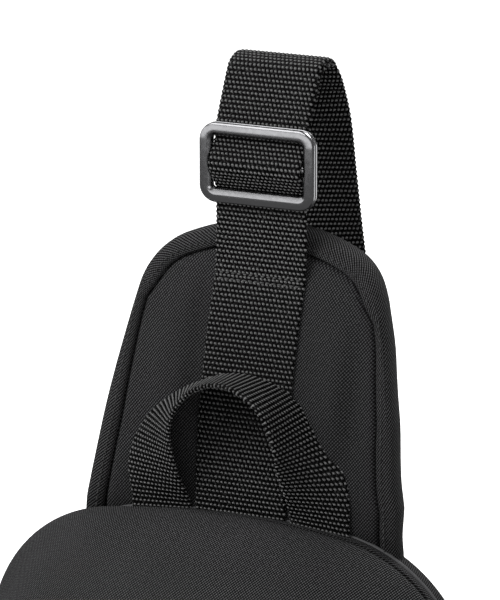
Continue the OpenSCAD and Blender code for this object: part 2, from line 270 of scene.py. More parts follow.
BODY_CLOTH = woven("body_cloth", CLOTH_PITCH, 0.2, grey(0.004, 0.0042), grey(0.062, 0.064), 0.14)
SHELL_CLOTH = woven("shell_cloth", CLOTH_PITCH, 0.3, grey(0.002), grey(0.125, 0.129), 0.24,
                    floats=(-0.1, 1.1))
BAND_CLOTH = woven("band_cloth", CLOTH_PITCH, 0.4, grey(0.003), grey(0.07, 0.072), 0.18)
WEBBING = woven("webbing", WEBBING_PITCH, WEBBING_LEAN, grey(0.0008), grey(0.168), 0.5, roughness=0.6,
                floats=(0.0, 0.95), rows=True, gloss=0.05)
AIR_MESH = woven("air_mesh", (3.0, 1.5), 0.0, (0.05, 0.051, 0.053), grey(0.004), 0.3, floats=(0.1, 0.6))
LINING = woven("lining", (0.7, 0.4), 0.3, (0.10, 0.105, 0.11), (0.17, 0.175, 0.185), 0.05, roughness=0.6)
TAPE = woven("zip_tape", (1.4, 0.6), 0.9, grey(0.006), grey(0.035, 0.036), 0.12)
GUNMETAL = metal("gunmetal", grey(0.36, 0.37), 0.22, grain=500.0)
ZIP_METAL = metal("zip_metal", grey(0.16, 0.165), 0.34)
THREAD = speckled("thread", 0.6, 1500.0, grey(0.002), grey(0.012), Sheen_Weight=0.2)[0]
PALE_THREAD = speckled("pale_thread", 0.6, 1500.0, grey(0.015), grey(0.09), Sheen_Weight=0.2)[0]
COIL = speckled("zip_coil", 0.42, 700.0, grey(0.008), grey(0.03, 0.031))[0]

# ---- Lines and meshes --------------------------------------------------------------


def spline(points, steps=12):
    """A smooth line through the points."""
    p = np.asarray(points, float)
    last = len(p) - 1
    t = np.linspace(0, 1, steps, endpoint=False)[:, None]
    runs = []
    for i in range(last):
        a, b, c, d = p[max(i - 1, 0)], p[i], p[i + 1], p[min(i + 2, last)]
        runs.append(0.5 * (2 * b + (c - a) * t + (2 * a - 5 * b + 4 * c - d) * t ** 2
                           + (3 * b - a - 3 * c + d) * t ** 3))
    return np.vstack([*runs, p[-1:]])


def lengths(line):
    """How far along the line each of its points is."""
    return np.concatenate([[0], np.cumsum(np.linalg.norm(np.diff(line, axis=0), axis=1))])


def at(line, where, along=None):
    """The line's points at these distances along it."""
    s = lengths(line) if along is None else along
    return np.stack([np.interp(where, s, line[:, k]) for k in range(line.shape[1])], 1)


def evenly(line, step):
    total = lengths(line)[-1]
    return at(line, np.linspace(0, total, max(2, round(total / step) + 1)))


def unit(v):
    return v / np.maximum(np.linalg.norm(v, axis=-1, keepdims=True), 1e-12)


def smooth(x, a, b):
    """0 before a, 1 after b and a smooth step between."""
    t = np.clip((np.asarray(x, float) - a) / (b - a), 0, 1)
    return t * t * (3 - 2 * t)


def each(vector, line):
    """The vector once for each point of the line."""
    return np.tile(np.array(vector, float), (len(line), 1))


def looped(ring, step):
    """A ring of points as an even line that ends where it starts."""
    return evenly(np.vstack([ring, ring[:1]]), step)


def grid_faces(rows, columns, wrap=False, ring=False):
    """Quads between rows of points; wrap joins each row's last point to its first, and ring joins the
    last row to the first."""
    r = np.arange(rows if ring else rows - 1)[:, None] * columns
    c = np.arange(columns if wrap else columns - 1)[None, :]
    after = (c + 1) % columns
    below = (r + columns) % (rows * columns)
    return np.stack([r + c, r + after, below + after, below + c], -1).reshape(-1, 4)


def tube_faces(rows, columns):
    """The side and the two end faces of a tube."""
    first = np.arange(columns)
    return [grid_faces(rows, columns, wrap=True), np.stack([first, rows * columns - 1 - first])]


def grid_uv(across, along):
    """Weave places from two arrays that spread over each other."""
    return np.stack(np.broadcast_arrays(across, along), -1)


def new_mesh(name, points, faces, material, uv=None, sharp=50.0, closed=True):
    """A smooth-shaded mesh object from points in the bag's millimetres and arrays of faces."""
    points = np.asarray(points, float).reshape(-1, 3)
    if closed:
        corners = [(points[f[:, 0]], points[f[:, k]], points[f[:, k + 1]]) for f in faces
                   for k in range(1, f.shape[1] - 1)]
        volume = sum(np.einsum("ij,ij->", a - points[0], np.cross(b - points[0], c - points[0]))
                     for a, b, c in corners)
        if volume < 0:
            faces = [f[:, ::-1] for f in faces]
    sizes = np.concatenate([np.full(len(f), f.shape[1]) for f in faces])
    loops = np.concatenate([f.ravel() for f in faces]).astype(np.int32)
    mesh = bpy.data.meshes.new(name)
    mesh.vertices.add(len(points))
    mesh.vertices.foreach_set("co", put(points).ravel())
    mesh.loops.add(len(loops))
    mesh.loops.foreach_set("vertex_index", loops)
    mesh.polygons.add(len(sizes))
    mesh.polygons.foreach_set("loop_start", np.concatenate([[0], np.cumsum(sizes)[:-1]]).astype(np.int32))
    mesh.polygons.foreach_set("use_smooth", np.ones(len(sizes), bool))
    mesh.update(calc_edges=True)
    if uv is not None:
        layer = mesh.uv_layers.new(name=WEAVE_UV)
        layer.data.foreach_set("uv", np.asarray(uv, float).reshape(-1, 2)[loops].ravel())
    mesh.materials.append(material)
    mesh.set_sharp_from_angle(angle=math.radians(sharp))
    made = bpy.data.objects.new(name, mesh)
    bpy.context.scene.collection.objects.link(made)
    return made


def loft(name, rows, material, uv=None, sharp=50.0):
    """A closed skin through rings of equal count, with its first and last ring closed by a face."""
    return new_mesh(name, rows, tube_faces(*rows.shape[:2]), material, uv, sharp=sharp)


def mend(piece, merge=0.002):
    """Welds points that meet and closes what is open."""
    mesh = bmesh.new()
    mesh.from_mesh(piece.data)
    bmesh.ops.remove_doubles(mesh, verts=mesh.verts, dist=merge * MM)
    bmesh.ops.holes_fill(mesh, edges=[e for e in mesh.edges if e.is_boundary], sides=0)
    bmesh.ops.recalc_face_normals(mesh, faces=mesh.faces)
    mesh.to_mesh(piece.data)
    mesh.free()
    return piece


def gather(name, parts, material, sharp=50.0):
    """One mesh object from many (points, faces) parts."""
    points, faces, start = [], {}, 0
    for part_points, part_faces in parts:
        part_points = np.asarray(part_points, float).reshape(-1, 3)
        points.append(part_points)
        for f in part_faces:
            faces.setdefault(f.shape[1], []).append(f + start)
        start += len(part_points)
    return new_mesh(name, np.vstack(points), [np.vstack(f) for f in faces.values()], material, sharp=sharp)


def polar_uv(rows, centre):
    """Weave places in millimetres: the direction from the centre times the way walked from the last row."""
    step = np.linalg.norm(np.diff(rows[::-1], axis=0), axis=2)
    away = rows - centre
    away[..., 1] = 0
    walked = np.vstack([np.zeros(step.shape[1]), np.cumsum(step, axis=0)])[::-1]
    reach = walked + np.linalg.norm(away[-1], axis=-1)
    return unit(away)[..., [0, 2]] * reach[..., None]


def filled(rings, middle, sag=0.0, steps=12, power=2, last=0.02):
    """Rings that carry the last one on to a point, sag millimetres along Y at the middle."""
    face = rings[-1]
    more = []
    for f in np.linspace(1, last, steps)[1:]:
        ring = middle + (face - middle) * (f, 1, f)
        ring[:, 1] = face[:, 1] + sag * (1 - f ** power)
        more.append(ring)
    return np.array([*rings, *more])


def weave_level(u, v):
    """Height of the webbing's yarns, the same as in its shader."""
    a, b = TAU * u / WEBBING_PITCH[0], math.pi * v / WEBBING_PITCH[1]
    level = np.cos(a) * np.cos(b) + WEBBING_LEAN * np.sin(a) * np.sin(b) + ROW_BIAS * np.abs(np.cos(b))
    return level * np.cos(b) ** ROW_EDGE


def ribbon(name, line, across, width, material, thick=WEB_T, start=0.0, relief=0.2, scallop=0.22, columns=90):
    """Woven webbing along a line: rows of floats on both faces, scalloped edges, closed ends."""
    along = unit(np.gradient(line, axis=0))
    across = unit(across)
    out = unit(np.cross(along, across))
    v = (lengths(line) + start)[:, None]
    u = np.linspace(-1, 1, columns + 1)[None, :] * width / 2
    edge = 1 + scallop * 2 / width * np.cos(TAU * v / WEBBING_PITCH[1])
    level = weave_level(u, v)
    body = np.sqrt(np.clip(1 - (np.abs(u) / (width / 2)) ** 24, 0, 1))
    lift = (thick / 2 + relief * level) * body
    side = line[:, None] + across[:, None] * (u * edge)[..., None]
    top = side + out[:, None] * lift[..., None]
    bottom = (side - out[:, None] * lift[..., None])[:, -2:0:-1]
    rings = np.concatenate([top, bottom], 1)
    count = rings.shape[1]
    uv = grid_uv(np.concatenate([u, u[:, -2:0:-1]], 1), v)
    j = np.arange(1, columns - 1)
    cap = np.stack([j, j + 1, count - j - 1, count - j], 1)
    tips = np.array([[0, 1, count - 1], [columns, columns + 1, columns - 1]])
    end = (len(line) - 1) * count
    faces = [np.vstack([grid_faces(len(line), count, wrap=True), cap, cap[:, ::-1] + end]),
             np.vstack([tips, tips[:, ::-1] + end])]
    return new_mesh(name, rings, faces, material, uv)


def round_section(line, girth, side, up, around):
    """Rings of points round a line, girth wide along its side and up directions."""
    turn = np.arange(around) * TAU / around
    return line[:, None] + girth * (side[:, None] * np.cos(turn)[None, :, None]
                                    + up[:, None] * np.sin(turn)[None, :, None])


def stitches(name, runs, length=2.3, gap=1.2, radius=0.3, lift=0.12, thread=THREAD):
    """Thread stitches along runs of (line, normals): each rises from the cloth and dives back."""
    parts = []
    rings, around = 5, 6
    for line, normals in runs:
        s = lengths(line)
        count = max(1, int((s[-1] + gap) / (length + gap)))
        pitch = s[-1] / count
        for k in range(count):
            where = k * pitch + gap / 2 + np.linspace(0, 1, rings) * (pitch - gap)
            centre, up = at(line, where, s), unit(at(normals, where, s))
            arch = np.sin(np.linspace(0, math.pi, rings))
            centre = centre + up * (lift * arch - radius * (1 - arch))[:, None]
            ahead = unit(np.gradient(centre, axis=0))
            side = unit(np.cross(ahead, up))
            girth = radius * (0.45 + 0.55 * arch)[:, None, None]
            parts.append((round_section(centre, girth, side, up, around), tube_faces(rings, around)))
    return gather(name, parts, thread)


def dress(piece, body, slot, *nodes):
    """Rides the piece on its body and hides the CAD nodes that it stands for; slot is not used."""
    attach(piece, body)
    if nodes:
        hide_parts(*nodes)
    return piece


# ---- Shoulder webbing --------------------------------------------------------------


def on_yoke(z, radius):
    return YOKE_R - np.sqrt(radius ** 2 - (z - YOKE_FOOT) ** 2)


WEB_LIFT_Z = 396.0
WEB_ON_YOKE = [(on_yoke(z, YOKE_R + 0.1 + WEB_T / 2), z) for z in np.linspace(305.4, WEB_LIFT_Z, 9)]
WEB_BELOW = [(17.7, 401), (18.2, 408), (18.3, 416), (18.3, 425.8), (18.25, 430.4)]
WEB_THROUGH = [(14.7, 435.4), (12.3, 438.6), (11.6, 441), (12.3, 443.4), (14.7, 446.6), (17.7, 451.6),
               (18.5, 456.2)]
WEB_TOP = [(23.5, 466.6), (28.3, 475.4), (31.2, 478.2), (37, 479.8), (43.2, 478.2), (47.4, 473.8),
           (50.6, 466), (52.8, 452), (53.6, 438.5)]
WEB_SPLIT_Z = 454.0
WEB_STEP = 0.42


def flat_line(points):
    """[y, z] points as a line in the plane X = 0."""
    p = np.asarray(points, float)
    return np.column_stack([np.zeros(len(p)), p])


def make_webbing():
    """The webbing up the yoke, through the slider and over the loop's top to its tail behind."""
    line = evenly(spline(flat_line(WEB_ON_YOKE + WEB_BELOW + WEB_THROUGH + WEB_TOP)), WEB_STEP)
    split = int(np.argmax(line[:, 2] > WEB_SPLIT_Z))
    along = lengths(line)
    across = each((-1, 0, 0), line)
    lower = ribbon("webbing_lower", line[:split + 1], across[:split + 1], STRAP_W, WEBBING)
    upper = ribbon("webbing_upper", line[split:], across[split:], STRAP_W, WEBBING, start=along[split])
    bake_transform(lower)
    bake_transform(upper)
    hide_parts("yoke_webbing", "webbing_below_slider", "webbing_in_slider")
    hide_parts("webbing_above_slider", "webbing_loop_top")


STRAP_FOLD = [(19.6, 455.4), (19.2, 451.5), (16.4, 446.2), (13.6, 441.6), (13.7, 439.7), (15.4, 438.9),
              (17.2, 439.9), (17.6, 442), (20.2, 449), (21.4, 453.5), (22.2, 459), (25.4, 465.6),
              (30.3, 473.8)]
STRAP_ROUTE = [(0.4, 33.2, 476.4), (0.8, 37, 477.5), (1.4, 41.5, 476.2), (2.2, 45.1, 472.3),
               (3, 48.2, 464.6), (4.6, 50.5, 452), (6.6, 51.6, 430), (10, 52.4, 400), (17, 53.2, 350),
               (23.5, 53.5, 300), (33, 52, 240), (44, 46, 180), (57, 36, 125), (70, 24.8, 82),
               (78.5, 18.6, 58), (81.5, 16.6, 48), (83.6, 15.6, 40)]
# The route's point over the top of the loop, where the folded end gives way to the long strap
STRAP_SPLIT = 1


def make_strap():
    """The strap's end folded round the slider's bar, and its long run down to the wing tab."""
    points = np.vstack([flat_line(STRAP_FOLD), STRAP_ROUTE])
    line = evenly(spline(points), WEB_STEP + 0.05)
    crest = int(np.argmax(line[:, 1] > STRAP_ROUTE[STRAP_SPLIT][1]))
    along = lengths(line)
    ahead = unit(np.gradient(line, axis=0))
    across = ahead * ahead[:, :1] - (1, 0, 0)
    end = ribbon("strap_end", line[:crest + 1], across[:crest + 1], STRAP_W, WEBBING, thick=1.35,
                 relief=0.12)
    long = ribbon("strap_long", line[crest:], across[crest:], STRAP_W, WEBBING, start=along[crest],
                  relief=0.18)
    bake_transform(end)
    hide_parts("strap_end_loop", "strap_inner_end")
    dress(long, "bag", "webbing", "strap_webbing")


make_webbing()
make_strap()

# ---- Tri-glide slider --------------------------------------------------------------

SLIDER_CORNER = 6.6
# Section of the frame: how far in from its outer wall, and how far back from its front face
SLIDER_SECTION = [(0.0, 1.4), (0.1, 0.8), (0.35, 0.4), (0.7, 0.22), (2.0, 0.05), (3.3, 0.0), (3.55, 0.08),
                  (4.5, 1.05), (4.75, 1.5), (4.8, 1.8), (4.8, 3.8), (4.5, 4.4), (4.1, 4.5), (0.9, 4.5),
                  (0.3, 4.25), (0.0, 3.7), (0.0, 2.95), (0.5, 2.7), (0.5, 2.1), (0.0, 1.85)]
# How far the frame's ends curve back, and how much deeper its bars are than its sides
SLIDER_CROWN = 0.9
SLIDER_LIP = 0.8
# Points of the section further in than this face the opening
SLIDER_INNER = 4.2
SLIDER_BAR_Y, SLIDER_BAR_R = 15.4, 1.2


def rounded_loop(half_x, half_z, radius, steps=10):
    """Points and outward normals of a rounded rectangle, in the plane of X and Z."""
    turn = np.concatenate([np.linspace(q, q + 1, steps) for q in range(4)]) * math.pi / 2
    normal = np.column_stack([np.cos(turn), np.zeros_like(turn), np.sin(turn)])
    quarter = np.repeat(np.arange(4), steps)
    sign_x = np.where((quarter == 0) | (quarter == 3), 1, -1)
    sign_z = np.where(quarter < 2, 1, -1)
    centre = np.column_stack([sign_x * (half_x - radius), np.zeros_like(turn), sign_z * (half_z - radius)])
    return centre + normal * radius, normal


def make_slider_frame():
    front = SLIDER_LOW[1]
    half_x, half_z = SLIDER_HIGH[0], SLIDER_HIGH[2] - SLIDER_Z
    outer, normal = rounded_loop(half_x, half_z, SLIDER_CORNER)
    section = np.array(SLIDER_SECTION)
    rings = outer[:, None] - normal[:, None] * section[None, :, :1]
    rings[..., 2] += SLIDER_LIP * np.clip(-normal[:, None, 2], 0, 1) * (section[None, :, 0] > SLIDER_INNER)
    rings[..., 1] = front + section[None, :, 1] + SLIDER_CROWN * (rings[..., 2] / half_z) ** 2
    rings[..., 2] += SLIDER_Z
    rings = np.concatenate([rings, rings[:1]])
    faces = [grid_faces(len(rings), len(section), wrap=True)]
    piece = new_mesh("slider_ring", rings, faces, GUNMETAL, sharp=28)
    dress(mend(piece), "strap_slider", "slider_metal", "slider_frame")


def make_slider_bar(sides=24):
    """The middle bar that the strap's end is folded round."""
    around = np.linspace(0, TAU, sides, endpoint=False)
    reach = np.array([-1, -0.6, 0.6, 1]) * (SLIDER_HIGH[0] - 2.5)
    wall = np.column_stack([SLIDER_BAR_Y - SLIDER_BAR_R * np.cos(around),
                            SLIDER_Z + SLIDER_BAR_R * np.sin(around)])
    bar = np.column_stack([np.repeat(reach, sides), np.tile(wall, (len(reach), 1))])
    piece = new_mesh("slider_bar", bar, [grid_faces(len(reach), sides, wrap=True)], GUNMETAL)
    dress(mend(piece), "strap_slider", "slider_metal")


make_slider_frame()
make_slider_bar()

# ---- Yoke --------------------------------------------------------------------------

HANDLE_FEET = 48.0
YOKE_HALF_W = 68.2
YOKE_TAPER = 0.19
YOKE_TOP_R = 93.0
YOKE_CORNER_R = 26.0
YOKE_LOW = 286.0
YOKE_TUCK = 1.8
# How much fuller the right edge is than the left, halfway up
YOKE_FULLER = 2.4
# Width of the edge band at distances along the edge from the yoke's foot
BAND_WIDTHS = [(0, 8.6), (55, 8.0), (95, 5.2), (101, 5.0), (107, 7.2), (113, 7.9), (200, 7.4)]
BAND_SEAM_LIFT, BAND_SEAM_IN = 0.72, 2.6
# Soft folds down the front of the yoke: place across it, breadth and rise
YOKE_FOLDS = [(36, 4.5, 1.5), (46, 4.5, -2.0), (-44, 7, -0.6)]
YOKE_GROOVE, YOKE_PUFF, YOKE_RIPPLE = 2.2, 2.0, 1.3
# Height of the seam across the back of the yoke
YOKE_SEAM_Z = 352.0
BACK_PUFF, BACK_GROOVE, BACK_SEAM = 2.4, 1.4, 2.6


def yoke_outline(step=1.6, side_count=60, arc_count=30):
    """The yoke's edge from its right foot over the top to its left foot: points, outward normals and
    the distance of each from the nearer foot, all as [x, z]."""
    n = unit(np.array([1.0, YOKE_TAPER]))
    t = np.array([-n[1], n[0]])
    arc_centre = np.array([0, YOKE_TOP - YOKE_TOP_R])
    level = n @ (YOKE_HALF_W, YOKE_FOOT - 1) - YOKE_CORNER_R - n @ arc_centre
    q = level * n + math.sqrt((YOKE_TOP_R - YOKE_CORNER_R) ** 2 - level ** 2) * t
    corner = arc_centre + q
    foot = corner + YOKE_CORNER_R * n
    drop = (foot[1] - YOKE_LOW) / t[1]
    side = foot - t * np.linspace(drop, 0, side_count)[:, None]
    a0, a1 = math.atan2(n[1], n[0]), math.atan2(q[1], q[0])
    turn = np.linspace(a0, a1, arc_count)[1:]
    fillet = corner + YOKE_CORNER_R * np.column_stack([np.cos(turn), np.sin(turn)])
    over = np.linspace(a1, math.pi / 2, arc_count)[1:]
    crown = arc_centre + YOKE_TOP_R * np.column_stack([np.cos(over), np.sin(over)])
    half = np.vstack([side, fillet, crown])
    angle = np.concatenate([np.full(side_count, a0), turn, over])
    s = lengths(half)
    where = np.linspace(0, s[-1], round(s[-1] / step) + 1)
    half = at(half, where, s)
    angle = np.interp(where, s, angle)
    normal = np.column_stack([np.cos(angle), np.sin(angle)])
    flip = np.array([-1, 1])
    fuller = YOKE_FULLER * smooth(half[:, 1], 322, 352) * (1 - smooth(half[:, 1], 372, 398))
    right = np.column_stack([np.minimum(half[:, 0] + fuller, YOKE_HALF_W - 2.4), half[:, 1]])
    return (np.vstack([right, half[-2::-1] * flip]), np.vstack([normal, normal[-2::-1] * flip]),
            np.concatenate([where, where[-2::-1]]))


def yoke_depth(z):
    """The pad's thickness: thinner at its foot, where it is sewn into the back panel."""
    return YOKE_T * (0.7 + 0.3 * smooth(z, 300, 322))


def bent(flat, radius):
    """[x, z] points of the yoke at this distance from the axis that it is bent about."""
    x, z = flat[..., 0], flat[..., 1]
    return np.stack([x, on_yoke(z, radius) + YOKE_TUCK * (1 - smooth(z, 296, 307)), z], -1)


def wobble(points, scale, amount, seed=0.0):
    """Smooth random lift for each point, scale millimetres long."""
    flat = np.asarray(points).reshape(-1, 3)
    found = [noise.noise(Vector(p) / scale + Vector((seed, 0, 0))) for p in flat]
    return amount * np.array(found).reshape(np.asarray(points).shape[:-1])


def yoke_rings(edge, normal, widths):
    """Rows of [x, z] points from the edge to the yoke's spine, with each point's distance inside."""
    rows, depths = [], []
    for d in (2.2, 3.4, 4.8):
        rows.append(edge - normal * d)
        depths.append(np.full(len(edge), d))
    for extra in (-1.0, -0.4, 0.0, 0.5, 1.2, 2.2, 3.6, 5.4, 7.6):
        d = widths + extra
        rows.append(edge - normal * d[:, None])
        depths.append(d)
    inner, reach = rows[-1], depths[-1]
    top = inner[:, 1].max()
    spine_top = top - 32
    spine = np.column_stack([np.zeros(len(inner)),
                             YOKE_LOW + (inner[:, 1] - YOKE_LOW) * (spine_top - YOKE_LOW) / (top - YOKE_LOW)])
    for f in np.linspace(0, 1, 22)[1:]:
        rows.append(inner + (spine - inner) * f)
        depths.append(reach + 40 * f)
    return np.array(rows), np.array(depths)


def yoke_front(flat, depth, widths):
    """The front cloth: a groove beside the band, and puffed and folded beside the webbing."""
    x = np.abs(flat[..., 0])
    groove = -YOKE_GROOVE * np.exp(-((depth - widths) / 1.0) ** 2)
    beside = smooth(x, STRAP_W / 2 + 1, STRAP_W / 2 + 11)
    beside = beside * np.maximum(smooth(flat[..., 1], 318, 350), smooth(x, HANDLE_FEET, HANDLE_FEET + 8))
    puff = YOKE_PUFF * smooth(depth, widths, widths + 16) * beside
    ripple = wobble(bent(flat, YOKE_R), 34, YOKE_RIPPLE)
    fading = 1 - smooth(flat[..., 1], 355, 400)
    for centre, breadth, rise in YOKE_FOLDS:
        ripple = ripple + rise * np.exp(-((flat[..., 0] - centre) / breadth) ** 2) * fading
    ripple = ripple * beside * smooth(depth, widths, widths + 12)
    return bent(flat, YOKE_R + groove + puff + ripple - 0.05)


def yoke_back(flat, depth, widths):
    """The back cloth, puffed above and below the seam that crosses it."""
    channel = np.exp(-((flat[..., 1] - YOKE_SEAM_Z) / 2.2) ** 2) * smooth(depth, widths + 2, widths + 8)
    back_puff = (BACK_PUFF * smooth(depth, widths, widths + 18)
                 - BACK_GROOVE * np.exp(-((depth - widths) / 1.4) ** 2) - BACK_SEAM * channel)
    return bent(flat, YOKE_R - yoke_depth(flat[..., 1]) - back_puff * smooth(flat[..., 1], 302, 322))


def make_yoke():
    edge, normal, foot = yoke_outline()
    widths = np.interp(foot, *zip(*BAND_WIDTHS))
    flat, depth = yoke_rings(edge, normal, widths)
    half = yoke_depth(edge[:, 1]) / 2
    round_edge = [bent(edge - normal * (2.2 - 1.9 * math.sin(a)), YOKE_R - half + (half - 0.3) * math.cos(a))
                  for a in np.linspace(0, math.pi, 9)[1:-1]]
    front, back = yoke_front(flat, depth, widths), yoke_back(flat, depth, widths)
    rows = np.concatenate([front[::-1], np.array(round_edge), back])
    faces = [grid_faces(len(rows), len(edge))]
    pad = mend(new_mesh("yoke_pad", rows, faces, BODY_CLOTH, rows[..., [0, 2]], closed=False))
    pad.data.materials.append(AIR_MESH)
    for face in pad.data.polygons:
        if face.normal.y > 0.3:
            face.material_index = 1
    dress(pad, "bag", "body_cloth", "yoke_front", "yoke_foam", "yoke_back")
    make_band(edge, normal, foot, widths)


def make_band(edge, normal, foot, widths):
    """The bound edge: a strip folded round the pad, its lips sewn down at the groove."""
    thick = yoke_depth(edge[:, 1])
    lips = [(0.99, -1.0), (0.96, -0.2), (0.88, 0.35), (0.7, 0.75), (0.5, 0.85), (0.34, 0.7)]

    def inside(distance, radius):
        return bent(edge - normal * np.broadcast_to(distance, len(edge))[:, None], radius)

    rows = [inside(widths * f, YOKE_R + h) for f, h in lips]
    for a in np.linspace(0, math.pi, 11):
        rows.append(inside(2.4 - 2.4 * math.sin(a), YOKE_R - thick / 2 + (thick / 2 + 0.5) * math.cos(a)))
    rows += [inside(widths * f, YOKE_R - thick - h) for f, h in lips[::-1]]
    rows += [inside(widths * 0.9, YOKE_R - thick + 1.2), inside(4.0, YOKE_R - thick + 1.0),
             inside(2.0, YOKE_R - thick / 2), inside(4.0, YOKE_R - 1.0), inside(widths * 0.9, YOKE_R - 1.2)]
    rings = np.array(rows)
    rings = rings + wobble(rings, 17, 0.35, seed=5.0)[..., None] * (0, 1, 0)
    uv = grid_uv(lengths(rings[:, 20])[:, None], lengths(edge))
    faces = [grid_faces(len(rings), len(edge), ring=True)]
    band = mend(new_mesh("yoke_band", rings, faces, BAND_CLOTH, uv, closed=False))
    dress(band, "bag", "binding_cloth", "yoke_binding")
    keep = foot > 8
    runs = []
    for side, radius in ((1, YOKE_R + BAND_SEAM_LIFT), (-1, YOKE_R - thick - BAND_SEAM_LIFT)):
        line = inside(widths - BAND_SEAM_IN, radius)[keep]
        runs.append((line, each((0, -side, 0), line)))
    piece = stitches("yoke_band_stitches", runs, length=1.5, gap=1.3, radius=0.36, lift=0.55)
    dress(piece, "bag", "binding_cloth")


make_yoke()

# ---- Grab handle -------------------------------------------------------------------

# The two edges of the handle from its left foot to its right foot
HANDLE_OUTER = [(-46.2, -1.5, 302.6), (-46.2, -1, 308.4), (-47.3, -0.7, 323), (-41.5, 0.9, 338),
                (-32.5, 2.2, 348), (-20, 3.1, 355.8), (-4.3, 3.9, 361), (10.0, 3.6, 359.4),
                (20, 2.6, 353.4), (30.6, 1, 341), (41.0, -0.4, 324), (45.6, -1, 308.4), (46.2, -1.5, 302.6)]
HANDLE_INNER = [(-21.2, -1.5, 305.2), (-21.2, -1, 309.4), (-24.2, -7.5, 323), (-24.8, -13.5, 338),
                (-20.5, -18, 349.5), (-11.5, -21, 359.5), (-1, -22, 363.5), (9, -21, 361),
                (18, -18, 352.5), (23.6, -13.5, 338), (24.2, -7.5, 323), (21.2, -1, 309.4),
                (21.2, -1.5, 305.2)]


def make_handle():
    """The grab handle: webbing between two edges that lean forward unevenly."""
    outer, inner = spline(HANDLE_OUTER, 30), spline(HANDLE_INNER, 30)
    middle = (outer + inner) / 2
    s = lengths(middle)
    where = np.linspace(0, s[-1], round(s[-1] / WEB_STEP) + 1)
    line, across = at(middle, where, s), at(outer - inner, where, s)
    piece = ribbon("handle_webbing", line, across, HANDLE_W, WEBBING, relief=0.26, columns=60)
    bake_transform(piece)
    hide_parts("grab_handle")


make_handle()

# ---- Front shell -------------------------------------------------------------------

CORNER_R, BASE_R, ARCH_R = 60.0, 40.0, 335.0
SHELL_T = 1.8
# Depth, half width, lowest and highest point of the dome, from its rim to its face
DOME = [(RIM_Y, INNER_HALF, 0, INNER_TOP), (-18, HALF_W, 0, CROWN), (-30, HALF_W - 7, 0, CROWN - 5),
        (-45, HALF_W - 13, 0, CROWN - 17), (-60, HALF_W - 20, 0, CROWN - 36),
        (-70, HALF_W - 26.5, 6, CROWN - 58), (-76.5, HALF_W - 34, 18, CROWN - 84),
        (FACE_Y, HALF_W - 46, 38, CROWN - 112)]
DOME_CENTRE = np.array((0, 0, (DOME[-1][2] + DOME[-1][3]) / 2))
DOME_SAG = -1.6
# The body's middle, which the back panel's rings close on
BODY_MIDDLE = np.array((0, 0, 150.0))
AROUND = 260


def arch_outline(half_w, z_low, z_high, count=AROUND):
    """Closed [x, z] outline with a wide arch on top, upright sides and round base corners."""
    turn = np.linspace(-math.pi / 2, 1.5 * math.pi, 1441)
    n = np.column_stack([np.cos(turn), np.sin(turn)])
    corner = min(CORNER_R, half_w - 2)
    drop = ARCH_R - math.sqrt((ARCH_R - corner) ** 2 - (half_w - corner) ** 2)
    centres = [((s * (half_w - corner), z_high - drop), corner) for s in (1, -1)]
    centres += [((s * (half_w - BASE_R), z_low + BASE_R), BASE_R) for s in (1, -1)]
    options = [np.array(c) + r * n for c, r in centres]
    arch = np.array((0, z_high - ARCH_R)) + ARCH_R * n
    reach = (half_w - corner) * ARCH_R / (ARCH_R - corner)
    edge_z = z_high - ARCH_R + math.sqrt(ARCH_R ** 2 - reach ** 2)
    ends = np.column_stack([np.where(n[:, 0] > 0, reach, -reach), np.full(len(n), edge_z)])
    options.append(np.where((np.abs(arch[:, :1]) < reach) & (n[:, 1:] > 0), arch, ends))
    options = np.array(options)
    best = np.argmax(np.einsum("kij,ij->ki", options, n), axis=0)
    line = options[best, np.arange(len(n))]
    s = lengths(line)
    base = slice(0, 40)      # reaches from the lowest point's left past x = 0
    start = np.interp(0, line[base, 0], s[base]) if line[0, 0] < 0 else 0
    line = np.vstack([line, line[:1]])
    s = lengths(line)
    where = (start + np.linspace(0, s[-1], count, endpoint=False)) % s[-1]
    return at(line, where, s)


def dome_rings(sunk=0.0):
    """Rings of the dome from its rim to the middle of its face, sunk by some millimetres."""
    rings = []
    for y, half, z0, z1 in spline(np.array(DOME, float), 7):
        flat = arch_outline(half - sunk, z0 + sunk, z1 - sunk)
        depth = np.full(len(flat), y + sunk * smooth(-y, 20, 70))
        rings.append(np.column_stack([flat[:, 0], depth, flat[:, 1]]))
    face = rings[-1]
    middle = np.array((0, 0, (face[:, 2].max() + face[:, 2].min()) / 2))
    return filled(rings, middle, DOME_SAG, 14)


def make_shell():
    rings = dome_rings()
    forward = smooth(-rings[..., 1:2], 14, 30)
    rings = rings + wobble(rings, 55, 1.4, seed=2.0)[..., None] * (0, 0.7, 0.25) * forward
    rings[..., 2] = np.maximum(rings[..., 2], 0.05)
    uv = polar_uv(rings, DOME_CENTRE)
    rows = np.concatenate([dome_rings(SHELL_T * 0.6)[::-1], rings])
    shell = loft("shell_cloth", rows, SHELL_CLOTH, np.concatenate([uv[::-1], uv]))
    dress(shell, "front", "body_cloth", "front_shell")


make_shell()

# ---- Sewing helpers ----------------------------------------------------------------


def pipe(line, radius, closed=False, around=10):
    """A round cord or bar along a line, as one part for gather()."""
    line = np.asarray(line, float)
    ring = np.vstack([line, line[:1]]) if closed else line
    ahead = np.gradient(ring, axis=0)
    if closed:
        ahead[0] = ahead[-1] = ring[1] - ring[-2]
    ahead = unit(ahead)
    guide = each((0, 1, 0), ring)
    guide[np.abs(ahead[:, 1]) > 0.9] = (0, 0, 1)      # the guide must not lie along the cord
    side = unit(np.cross(ahead, guide))
    points = round_section(ring, radius, side, np.cross(side, ahead), around)[:len(line)]
    if closed:
        return points, [grid_faces(len(line), around, wrap=True, ring=True)]
    return points, tube_faces(len(line), around)


